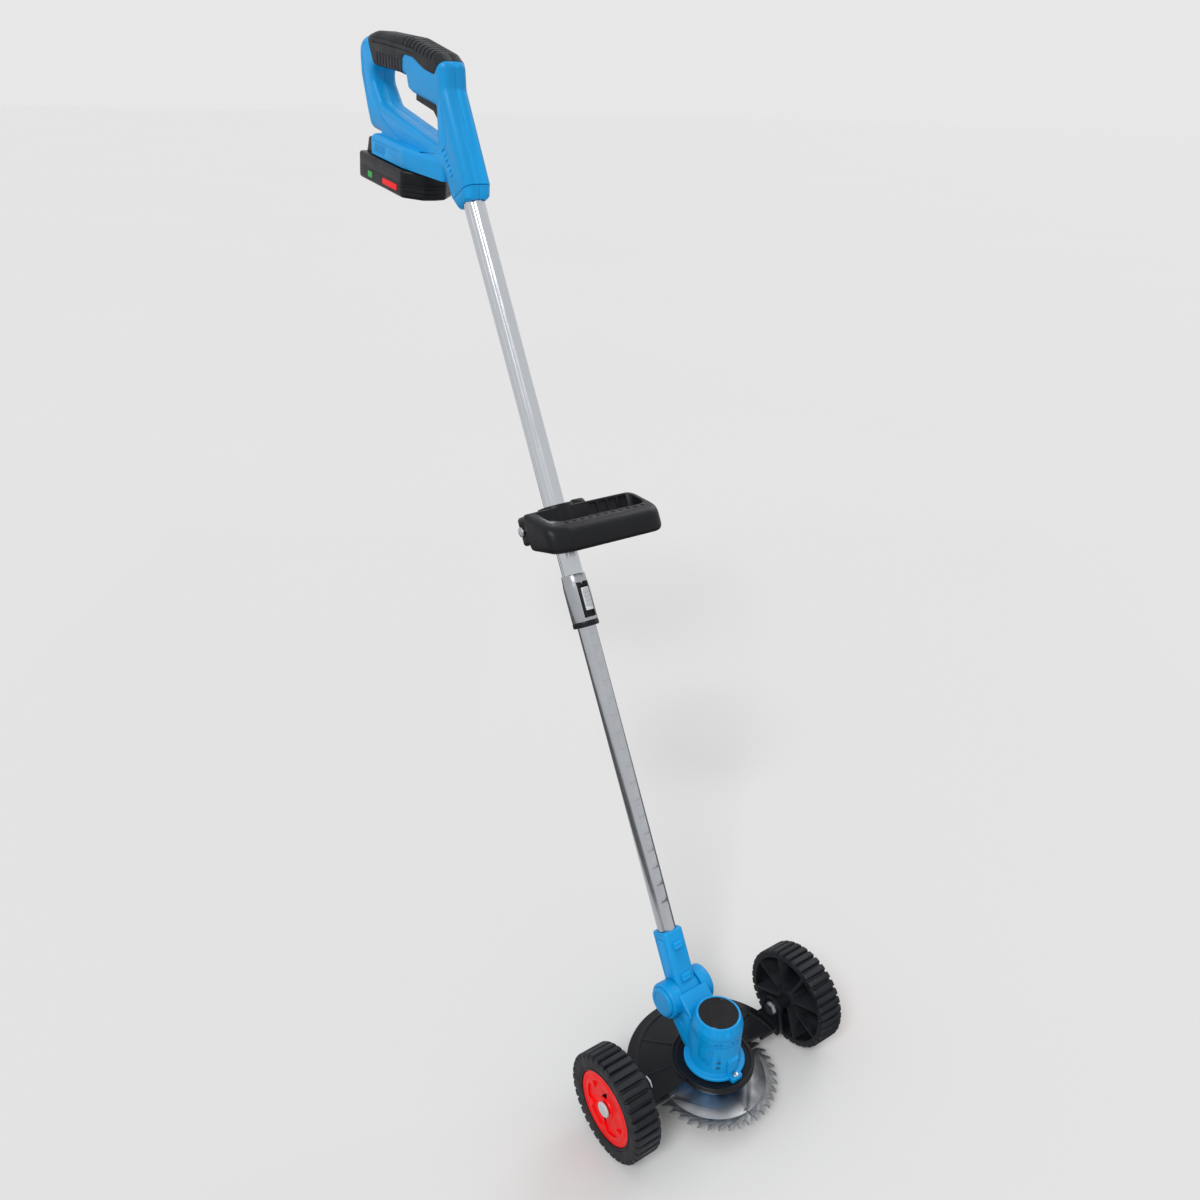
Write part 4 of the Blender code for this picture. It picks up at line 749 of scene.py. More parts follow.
def build_guard():
    plate = GUARD_TOP - GUARD_DROP
    rim_foot = plate - GUARD_RIM
    edge = GUARD_RADIUS
    slope_start = (50.6, GUARD_TOP - 0.9)
    profile = [
        (MOTOR_RADIUS + GAP + 2, GUARD_TOP), (45.4, GUARD_TOP), (46.2, GUARD_TOP + 0.9),
        (46.9, GUARD_TOP + 1.35), (48.9, GUARD_TOP + 1.35), (49.7, GUARD_TOP + 0.8),
        slope_start,
        (edge - 15.0, plate + 1.6), (edge - 14.2, plate + 2.5), (edge - 13.3, plate + 2.8),
        (edge - 11.6, plate + 2.5), (edge - 10.4, plate + 1.2), (edge - 9.5, plate + 0.7),
        (edge - 3.0, plate), (edge - 1.4, plate - 0.6), (edge - 0.7, plate - 1.8), (edge, rim_foot + 0.4),
        (edge - 0.4, rim_foot), (edge - GUARD_WALL + 0.4, rim_foot), (edge - GUARD_WALL, rim_foot + 0.4),
        (edge - GUARD_WALL - 0.6, plate - GUARD_WALL - 0.4), (51.0, GUARD_TOP - GUARD_WALL - 2.0),
        (45.0, GUARD_TOP - GUARD_WALL), (MOTOR_RADIUS + GAP + 2, GUARD_TOP - GUARD_WALL),
    ]
    guard = turned(profile, LARGE_ROUND, closed=True)
    front = arc((0, 0), GUARD_HUB_RADIUS + 3, -6.0, -174.0, 60)
    reach = GUARD_RADIUS + 20
    outline = [(reach, -4.6)] + front + [(-reach, -4.6), (-reach, -reach), (reach, -reach)]
    cut(guard, prism(outline, 0.0, GUARD_TOP + 20))
    hub_profile = [
        (GUARD_HUB_RADIUS, GUARD_TOP - 6.0), (GUARD_HUB_RADIUS + 5.0, GUARD_TOP - 6.0),
        (GUARD_HUB_RADIUS + 5.0, GUARD_TOP + 0.5), (GUARD_HUB_RADIUS + 4.3, GUARD_TOP + 1.2),
        (GUARD_HUB_RADIUS + 0.6, GUARD_TOP + 1.2), (GUARD_HUB_RADIUS, GUARD_TOP + 0.6),
    ]
    join(guard, turned(hub_profile, LARGE_ROUND, closed=True))
    for side in (-1, 1):
        outer = LUG_INNER + LUG_THICKNESS
        foot = rim_foot - 1.0
        shape = arc((WHEEL_Y, WHEEL_RADIUS), LUG_RADIUS, -8, 188, 32)
        shape += [
            (WHEEL_Y - LUG_RADIUS - 4, plate), (WHEEL_Y - LUG_RADIUS - 4, foot + 6),
            (WHEEL_Y - LUG_RADIUS - 1, foot), (WHEEL_Y - LUG_RADIUS + 5, foot),
            (WHEEL_Y - LUG_RADIUS + 7, foot + 7), (WHEEL_Y - 3, foot + 7), (WHEEL_Y - 1, foot + 1),
            (WHEEL_Y + 6, foot + 1), (WHEEL_Y + LUG_RADIUS + 6, plate - 4),
        ]
        low, high = sided(side, LUG_INNER, outer)
        lug = prism(shape, low, high, "X")
        plate_top = plate + 0.9
        arm = [
            (side * 70, -5.6), (side * (outer - 0.5), -5.6), (side * (outer - 0.5), 27.0), (side * 80, 27.0)
        ]
        join(guard, lug, prism(arm, plate_top - 5.6, plate_top))
        shaft = rod(AXLE_RADIUS + GAP, low - 2, high + 2, SMALL_ROUND, "X", (WHEEL_Y, WHEEL_RADIUS))
        recess_low, recess_high = sided(side, outer - 0.5, outer + 2)
        face_ring = ring(9.6, 10.8, recess_low, recess_high, MEDIUM_ROUND, "X", (WHEEL_Y, WHEEL_RADIUS))
        cut(guard, shaft, face_ring)
    ribs = []
    for degrees in (20, 55, 90, 125, 160):
        rib_root = (51.0, 0, GUARD_TOP - 0.3)
        spoke = block((rib_root[0], -0.9, GUARD_TOP - 3.6), (edge - 13.0, 0.9, rib_root[2]), 0.3, 2)
        swung(spoke, math.radians(10.7), rib_root, "Y")
        swung(spoke, math.radians(degrees), axis="Z")
        ribs.append(spoke)
    join(guard, merged(ribs))
    cut(guard, rod(2.0, GUARD_TOP - 10, GUARD_TOP + 10, SMALL_ROUND, centre=(0, FRONT_SCREW_Y)))
    piece(guard, "guard_moulding", HEAD, "head", "black", ["guard"], 0.45, 36.0)


def radial_slots(angles, radius, width, low, high, depth):
    """Blocks that reach into a round wall of that radius from outside."""
    tools = []
    for degrees in angles:
        tool = block((radius - depth, -width / 2, low), (radius + 8.0, width / 2, high), 0.3, 2)
        tools.append(swung(tool, math.radians(degrees), axis="Z"))
    return merged(tools)


def build_motor_housing():
    floor = GUARD_TOP + GAP
    top = MOTOR_BODY_TOP
    flange_top = floor + MOTOR_FLANGE_THICKNESS
    body = turned(
        [
            (MOTOR_FLANGE_RADIUS - 0.7, floor), (MOTOR_FLANGE_RADIUS, floor + 0.7),
            (MOTOR_FLANGE_RADIUS, flange_top - 1.4), (MOTOR_FLANGE_RADIUS - 0.5, flange_top - 0.5),
            (MOTOR_FLANGE_RADIUS - 1.4, flange_top), (MOTOR_RADIUS + 1.8, flange_top + 0.1),
            (MOTOR_RADIUS + 0.7, flange_top + 0.6), (MOTOR_RADIUS, flange_top + 2.0), (MOTOR_RADIUS, top),
        ],
        LARGE_ROUND,
    )
    half = 7.5
    root = -MOTOR_RADIUS + 2.5
    face = -MOTOR_RADIUS - 3.1
    rib_plan = rounded([(-half, root), (-half, face), (half, face), (half, root)], [0, 2.4, 2.4, 0], 5)
    rib = prism(rib_plan, floor + 1, top - 15)
    slant = swung(block((-20, -30, 0), (20, 30, 20)), math.radians(40))
    cut(rib, moved(slant, (0, face, top - 24)))
    tab_face = -MOTOR_RADIUS - 11.5
    tab_plan = rounded(
        [(-half, root), (-half, tab_face), (half, tab_face), (half, root)], [0, 3.0, 3.0, 0], 6
    )
    tab = prism(tab_plan, floor, flange_top + 1.5)
    join(body, rib, tab)

    neck_side = [
        (15.0, flange_top - 2.0), (15.0, top - 1.0), (30.0, 105.0), (PIVOT_Y - 15.5, PIVOT_Z + 16.5),
        (PIVOT_Y, PIVOT_Z + 8.0), (PIVOT_Y + 12.0, PIVOT_Z - 10.0),
        (PIVOT_Y - 3.0, PIVOT_Z - DRUM_RADIUS), (PIVOT_Y - 8.0, PIVOT_Z - DRUM_RADIUS - 9.0),
        (32.0, flange_top - 1.0),
    ]
    neck = pillow(rounded(neck_side, [0, 0, 4, 0, 0, 0, 4, 6, 3], 8), 20.0, 2.4, steps=5)
    pivot = (PIVOT_Y, PIVOT_Z)
    drum = rod(DRUM_RADIUS, -DRUM_HALF_LENGTH, DRUM_HALF_LENGTH, ROUND, "X", pivot, 2.5)
    join(body, neck, drum)
    slot = EYE_HALF_WIDTH + 0.6
    room_radius = MOTOR_RADIUS - MOTOR_WALL
    cut(
        body,
        turned([(room_radius, flange_top), (room_radius, top + 30)], LARGE_ROUND),
        rod(12.0, floor - 1, flange_top + 1, ROUND),
        rod(EYE_RADIUS + 1.0, -slot, slot, ROUND, "X", pivot),
        rod(PIVOT_PIN_RADIUS + GAP, -DRUM_HALF_LENGTH + 3, DRUM_HALF_LENGTH - 2, MEDIUM_ROUND, "X", pivot),
    )
    window = block((-slot, -SOCKET_SIDE / 2 - 2.5, 7.5), (slot, 60, 40))
    cut(body, moved(swung(window, math.radians(-5.0)), (0, PIVOT_Y, PIVOT_Z)))
    cut(body, moved(block((-slot, 12.0, -SOCKET_SIDE / 2 - 1.5), (slot, 60, 40)), (0, PIVOT_Y, PIVOT_Z)))
    button_floor = -DRUM_HALF_LENGTH + PIVOT_BUTTON_TRAVEL + 2.0
    cut(body, rod(PIVOT_BUTTON_RADIUS + GAP, -DRUM_HALF_LENGTH - 1, button_floor, ROUND, "X", pivot))
    cut(body, turned([(MOTOR_RADIUS + 1.2, top), (MOTOR_RADIUS + 1.2, top + 30)], LARGE_ROUND))
    vents = []
    for side in (-1, 1):
        for height in (flange_top + 8.0, flange_top + 15.5):
            vent = block((-2.4, -40, height), (2.4, -15, height + 4.0), 0.5, 2)
            vents.append(swung(vent, side * math.radians(34), axis="Z"))
    cut(body, merged(vents))
    # A shallow seam around the body under the cap, and oval outlines at both sides
    seam = ring(MOTOR_RADIUS - 0.5, MOTOR_RADIUS + 3, top - 3.2, top - 2.4, LARGE_ROUND)
    keep_front = block((-40, -60, 0), (40, 12, 200))
    cut(body, common(seam, keep_front))
    for side in (-1, 1):
        grooves = []
        for width, height in ((9.0, 14.0), (6.4, 11.0)):
            outline = rounded(
                [(-height, -width), (height, -width), (height, width), (-height, width)], width * 0.95, 10
            )
            hollow = inset(outline, 0.7)
            shell = loft([(18.0, outline), (29.4, outline), (29.4, hollow), (18.0, hollow)], "Y", closed=True)
            grooves.append(shell)
        tool = merged(grooves)
        for vertex in tool.data.vertices:
            vertex.co.y = -vertex.co.y
        outer_keep = ring(MOTOR_RADIUS - 0.45, MOTOR_RADIUS + 12.0, 60.0, 94.0, LARGE_ROUND)
        tool = swung(moved(tool, (0, 0, 78.0)), side * math.radians(68.0), axis="Z")
        fix_normals(tool)
        cut(body, common(tool, outer_keep))
    cut(body, rod(2.0, floor - 6, flange_top + 4, SMALL_ROUND, centre=(0, FRONT_SCREW_Y)))
    neck_vents = []
    for side in (-1, 1):
        for height in (72.0, 79.0):
            low, high = sided(side, 19.2, 24.0)
            neck_vents.append(block((low, 33.0, height), (high, 41.0, height + 2.6)))
    cut(body, merged(neck_vents))
    border = rounded([(24.0, 62.0), (42.0, 70.0), (46.0, 84.0), (36.0, 99.0), (24.0, 99.0)], 3.0, 6)
    for side in (-1, 1):
        low, high = sided(side, 19.55, 24.0)
        line = loft(
            [(low, border), (high, border), (high, inset(border, 0.8)), (low, inset(border, 0.8))], "X", True
        )
        cut(body, line)
    piece(body, "motor_body", HEAD, "head", "blue", ["motor_housing"], 0.3, 34.0)

    cap = turned(
        [
            (MOTOR_RADIUS + 0.1, top + GAP), (MOTOR_RADIUS + 0.4, top + GAP + 0.5),
            (MOTOR_RADIUS + 0.4, top + 9.4), (MOTOR_RADIUS + 0.1, top + 11.2),
            (MOTOR_RADIUS - 0.6, top + 13.5), (CAP_FACE_RADIUS + 1.2, CAP_TOP - 1.4),
            (CAP_FACE_RADIUS + 0.8, CAP_TOP - 0.5), (CAP_FACE_RADIUS - 0.2, CAP_TOP),
            (BADGE_RADIUS + GAP, CAP_TOP), (BADGE_RADIUS + GAP, CAP_TOP - 1.2),
        ],
        LARGE_ROUND,
    )
    room = [
        (MOTOR_RADIUS - MOTOR_WALL, top - 1), (MOTOR_RADIUS - MOTOR_WALL, top + 9.0), (18.0, CAP_TOP - 4.0)
    ]
    cut(cap, turned(room, ROUND))
    # Fine ribs down the left front of the cap, and vent pairs under its edge
    knurls = []
    lean = math.atan2(MOTOR_RADIUS - 0.6 - CAP_FACE_RADIUS - 1.2, CAP_TOP - 1.4 - top - 13.5)
    for k in range(64):
        knurl = block((CAP_FACE_RADIUS + 0.6, -0.42, -9.0), (CAP_FACE_RADIUS + 9.0, 0.42, -0.6), 0.15, 1)
        swung(knurl, -lean, (CAP_FACE_RADIUS + 0.6, 0, 0), "Y")
        moved(knurl, (0, 0, CAP_TOP))
        knurls.append(swung(knurl, math.tau * k / 64, axis="Z"))
    cut(cap, merged(knurls))
    pairs = []
    for centre in (-128, -88, -48, 8, 172):
        pairs += [centre - 5.5, centre + 5.5]
    cut(cap, radial_slots(pairs, MOTOR_RADIUS, 4.2, top + 1.6, top + 4.0, 1.2))
    cut(cap, ring(MOTOR_RADIUS - 0.1, MOTOR_RADIUS + 4, top + 8.2, top + 8.9, LARGE_ROUND))
    piece(cap, "motor_crown", HEAD, "head", "blue", ["motor_cap"], 0.25, 30.0)

    badge = turned(
        [
            (BADGE_RADIUS, CAP_TOP - 1.2 + GAP), (BADGE_RADIUS, CAP_TOP - 0.2),
            (BADGE_RADIUS - 0.4, CAP_TOP + 0.2), (BADGE_RADIUS - 2.2, CAP_TOP + 0.2),
            (BADGE_RADIUS - 2.6, CAP_TOP - 0.1),
        ],
        LARGE_ROUND,
    )
    piece(badge, "cap_medallion", HEAD, "head", "gloss", ["cap_badge"], 0.0, 28.0)

    screw_at = (0.0, FRONT_SCREW_Y)
    screw_floor = flange_top + 1.5 + GAP
    head = turned(
        [(3.4, screw_floor), (3.4, screw_floor + 0.9), (2.9, screw_floor + 1.5), (1.8, screw_floor + 1.8)],
        SMALL_ROUND,
        centre=screw_at,
    )
    shank = rod(1.6, floor - 5.0, screw_floor + 0.4, SMALL_ROUND, centre=screw_at)
    join(head, shank)
    cross = screw_floor + 0.7
    for size in ((1.9, 0.4), (0.4, 1.9)):
        low = (-size[0], FRONT_SCREW_Y - size[1], cross)
        cut(head, block(low, (size[0], FRONT_SCREW_Y + size[1], cross + 4)))
    piece(head, "front_flange_screw", HEAD, "head", "steel", ["front_screw"], 0.0, 30.0)

    outer = -DRUM_HALF_LENGTH - 3.5
    button = turned(
        [
            (PIVOT_BUTTON_RADIUS - 0.4, -DRUM_HALF_LENGTH + 1.2),
            (PIVOT_BUTTON_RADIUS, -DRUM_HALF_LENGTH + 0.8), (PIVOT_BUTTON_RADIUS, outer + 1.4),
            (PIVOT_BUTTON_RADIUS - 0.6, outer + 0.4), (PIVOT_BUTTON_RADIUS - 1.6, outer), (12.4, outer),
            (11.6, outer + 0.6), (10.8, outer + 0.6),
        ],
        ROUND,
        "X",
        pivot,
    )
    piece(button, "tilt_lock_button", HEAD, "pivot_lock_button", "blue", ["pivot_lock_button"], 0.0, 34.0)


# ---------------------------------------------------------------- wheels


def build_wheel(side):
    name = "left" if side < 0 else "right"
    body = f"{name}_wheel"
    outer = WHEEL_INNER + WHEEL_WIDTH
    centre = Matrix.Translation(Vector((0, WHEEL_Y, WHEEL_RADIUS)) * MM)

    low, high = sided(side, WHEEL_INNER, outer)
    floor = WHEEL_RADIUS - TREAD_DEPTH
    rim = turned(
        [
            (floor - 2.5, low), (floor - 0.6, low + 0.8), (floor, low + 2.4), (floor, high - 2.4),
            (floor - 0.6, high - 0.8), (floor - 2.5, high),
        ],
        LARGE_ROUND,
        "X",
    )
    lugs = []
    pitch = math.tau / WHEEL_BLOCKS
    for k in range(WHEEL_BLOCKS):
        angle = (k + 0.28) * pitch
        head = WHEEL_RADIUS * math.cos(0.27 * pitch)
        half = WHEEL_RADIUS * math.sin(0.27 * pitch)
        profile = [
            (-half - 0.9, floor - 5.0), (half + 0.9, floor - 5.0), (half + 0.9, floor + 0.2),
            (half, head), (-half, head), (-half - 0.9, floor + 0.2),
        ]
        layers = [
            (low, [(a, min(b, head - 1.4)) for a, b in profile]),
            (low + 1.6, profile), (high - 1.6, profile),
            (high, [(a, min(b, head - 1.4)) for a, b in profile]),
        ]
        lugs.append(swung(loft(layers, "X"), angle - math.pi / 2))
    join(rim, merged(lugs))
    web = outer - 10.0
    a, b = sided(side, WHEEL_INNER - 1, web)
    well = ring(13.0, WHEEL_RADIUS - 8.5, a, b, ROUND, "X")
    spokes = []
    for k in range(8):
        spoke = block((a - 1, 8.0, -1.4), (b + 1, WHEEL_RADIUS, 1.4))
        spokes.append(swung(spoke, math.tau * (k + 0.5) / 8))
    cut(well, merged(spokes))
    cut(rim, well)
    depth = 6.0
    a, b = sided(side, outer - depth - GAP, outer + 1)
    cut(rim, rod(HUB_COVER_RADIUS + GAP, a, b, LARGE_ROUND, "X"))
    a, b = sided(side, WHEEL_INNER - 1, outer + 1)
    cut(rim, rod(AXLE_RADIUS + GAP, a, b, SMALL_ROUND, "X"))
    a, b = sided(side, outer - 0.5, outer + 1)
    cut(rim, ring(HUB_COVER_RADIUS + 2.6, HUB_COVER_RADIUS + 3.5, a, b, LARGE_ROUND, "X"))
    piece(rim, f"{name}_tread_wheel", HEAD @ centre, body, "wheel", [f"{name}_wheel"], 0.3, 30.0)

    face = outer - 1.2
    a, b = sided(side, outer - depth, face)
    cover = rod(HUB_COVER_RADIUS, a, b, LARGE_ROUND, "X", edge=0.9)
    star = []
    for k in range(6):
        middle = math.degrees(math.tau * k / 6)
        star += arc((0, 0), 31.0, middle - 20, middle + 20, 12)
        star += arc((0, 0), 23.5, middle + 26, middle + 34, 4)
    a, b = sided(side, face - 2.2, face + 2)
    cut(cover, prism(star, a, b, "X"))
    hub = [(side * (face - 3.0), circle(12.6, ROUND)), (side * (face - 0.6), circle(11.8, ROUND))]
    if side < 0:
        hub.reverse()
    join(cover, loft(hub, "X"))
    a, b = sided(side, face - 0.5, face + 1)
    cut(cover, ring(36.4, 37.2, a, b, LARGE_ROUND, "X"))
    a, b = sided(side, outer - 10, outer + 2)
    cut(cover, rod(AXLE_RADIUS + GAP, a, b, SMALL_ROUND, "X"))
    piece(cover, f"{name}_wheel_cover", HEAD @ centre, body, "red", [f"{name}_hub_cover"], 0.25, 30.0)

    shank_end = face + 0.6
    cap = [
        (side * (shank_end + GAP), circle(8.6, MEDIUM_ROUND)),
        (side * (shank_end + 1.9), circle(8.6, MEDIUM_ROUND)),
        (side * (shank_end + 2.5), circle(8.0, MEDIUM_ROUND)),
        (side * (shank_end + 2.8), circle(6.8, MEDIUM_ROUND)),
        (side * (shank_end + 2.6), circle(5.6, MEDIUM_ROUND)),
    ]
    if side < 0:
        cap.reverse()
    piece(
        loft(cap, "X"),
        f"{name}_push_cap",
        HEAD @ centre,
        "head",
        "light_grey",
        [f"{name}_axle_cap"],
        0.0,
        40.0,
    )


# ---------------------------------------------------------------- pole


def build_lower_pole():
    side = SOCKET_SIDE / 2
    outline = rounded([(-side, -side), (side, -side), (side, side), (-side, side)], 5.5, 6)
    layers = [
        (-PIVOT_ALONG_POLE + 4.0, outline), (-2.2, outline), (-0.8, inset(outline, 0.5)),
        (0.0, inset(outline, 1.5)),
    ]
    socket = loft(layers)
    for height in (-17.0, -55.0):
        clip = block((-6.5, -side - 3.0, height - 4.5), (6.5, -side + 1.0, height + 4.5), 0.9, 3)
        ridge = block((-4.6, -side - 3.0, height - 0.7), (4.6, -side - 2.0, height + 0.7), 0.2, 1)
        cut(clip, moved(ridge, (0, -0.7, 0)))
        join(socket, clip)
    eye = rod(EYE_RADIUS, -EYE_HALF_WIDTH, EYE_HALF_WIDTH, ROUND, "X", (0, -PIVOT_ALONG_POLE), 1.0)
    join(socket, eye)
    for sign in (-1, 1):
        low, high = sided(sign, side - 0.5, side + 3)
        panel = prism(
            rounded([(-8.0, -58.0), (8.0, -58.0), (8.0, -8.0), (-8.0, -8.0)], 3.0, 6), low, high, "X"
        )
        inner = prism(
            rounded([(-7.0, -57.0), (7.0, -57.0), (7.0, -9.0), (-7.0, -9.0)], 2.4, 6), low - 1, high + 1, "X"
        )
        cut(socket, cut(panel, inner))
    cut(
        socket,
        rod(LOWER_TUBE_RADIUS + GAP, -SOCKET_DEPTH - GAP, 5.0, ROUND),
        rod(PIVOT_PIN_RADIUS + GAP, -40, 40, SMALL_ROUND, "X", (0, -PIVOT_ALONG_POLE)),
    )
    piece(socket, "tube_socket", POLE, "lower_pole", "blue", ["head_socket"], 0.3, 34.0)

    bore = LOWER_TUBE_RADIUS - LOWER_TUBE_WALL
    tube = ring(bore, LOWER_TUBE_RADIUS, -SOCKET_DEPTH, LOWER_TUBE_TOP, ROUND, edge=0.3)
    notches = []
    for k in range(NOTCH_COUNT):
        height = SLEEVE_FOOT - 7.0 - k * NOTCH_PITCH
        front = -LOWER_TUBE_RADIUS
        notches.append(block((-9.0, front - 2.0, height - 3.25), (9.0, front + 0.9, height + 3.25), 0.35, 2))
    cut(tube, merged(notches))
    piece(tube, "notched_tube", POLE, "lower_pole", "tube", ["lower_tube"], 0.15, 30.0)


def build_upper_pole():
    foot = SLEEVE_FOOT + COLLAR_HEIGHT + 1.0
    top = HANDLE_ALONG_POLE + TUBE_IN_HANDLE
    bore = LOWER_TUBE_RADIUS + UPPER_TUBE_CLEARANCE
    # Twelve long shallow flutes round the tube
    outline = []
    steps = 12 * 12
    for i in range(steps):
        wave = 0.5 + 0.5 * math.cos(12 * math.tau * i / steps)
        radius = UPPER_TUBE_RADIUS - 0.55 * wave ** 3
        outline.append((radius * math.cos(math.tau * i / steps), radius * math.sin(math.tau * i / steps)))
    hollow = circle(bore, steps)
    layers = [(foot, hollow), (foot, outline), (top, outline), (top, hollow)]
    tube = loft(layers, "Z", closed=True)
    piece(tube, "fluted_tube", POLE, "handle", "tube", ["upper_tube"], 0.0, 40.0)

    collar = ring(bore, SLEEVE_RADIUS + 0.3, SLEEVE_FOOT, SLEEVE_FOOT + COLLAR_HEIGHT, LARGE_ROUND, edge=0.8)
    piece(collar, "sleeve_collar", POLE, "handle", "black", ["lock_collar"], 0.0, 40.0)

    bore = UPPER_TUBE_RADIUS + GAP
    low = SLEEVE_FOOT + COLLAR_HEIGHT + GAP
    sleeve_top = SLEEVE_FOOT + SLEEVE_LENGTH
    profile = [
        (bore, low), (SLEEVE_RADIUS - 0.3, low), (SLEEVE_RADIUS, low + 0.4),
        (SLEEVE_RADIUS, sleeve_top - 16.0), (SLEEVE_RADIUS - 0.25, sleeve_top - 12.5),
        (SLEEVE_RADIUS - 0.7, sleeve_top - 9.0), (bore + 1.2, sleeve_top - 0.6), (bore + 0.9, sleeve_top),
        (bore, sleeve_top),
    ]
    sleeve = turned(profile, LARGE_ROUND, closed=True)
    half = 7.0
    insert_top = sleeve_top - 10.0
    cut(sleeve, block((-half, -SLEEVE_RADIUS - 4, low + 4.0), (half, -8.0, insert_top)))
    piece(sleeve, "telescope_sleeve", POLE, "handle", "silver", ["lock_sleeve"], 0.25, 32.0)

    face = -SLEEVE_RADIUS - 1.6
    wide = half - GAP
    plan = [(-wide, -UPPER_TUBE_RADIUS), (-wide, face), (wide, face), (wide, -UPPER_TUBE_RADIUS)]
    insert = prism(rounded(plan, [0, 1.2, 1.2, 0], 5), low + 4.0 + GAP, insert_top - GAP)
    notch = rod(3.2, -30.0, 0.0, SMALL_ROUND, "Y", (insert_top + 0.6, 0.0))
    cut(insert, notch)
    cut(insert, rod(bore, low, sleeve_top + 5, LARGE_ROUND))
    button_half = 4.6
    button_low = low + 12.0
    button_top = sleeve_top - 17.0
    room_front = face + 1.6
    cut(
        insert,
        block((-button_half - GAP, face - 5, low + 2.0), (button_half + GAP, room_front, button_top + 2.0)),
    )
    piece(insert, "sleeve_insert", POLE, "handle", "black", ["lock_insert"], 0.15, 32.0)

    front = face - 1.8
    button = block((-button_half, front, button_low), (button_half, room_front - GAP, button_top), 0.6, 3)
    chevrons = []
    for k in range(4):
        height = button_low + 4.5 + 5.0 * k
        for sign in (-1, 1):
            bar = block((-0.4, front - 2.0, -0.55), (4.2, front + 0.55, 0.55))
            swung(bar, math.radians(-28.0), axis="Y")
            if sign < 0:
                bar.data.transform(Matrix.Scale(-1.0, 4, (1, 0, 0)))
                fix_normals(bar)
            chevrons.append(moved(bar, (0, 0, height)))
    for bar in chevrons:
        cut(button, bar)
    piece(button, "telescope_button", POLE, "pole_lock_button", "light_grey", ["pole_lock_button"], 0.0, 32.0)


# ---------------------------------------------------------------- auxiliary handle


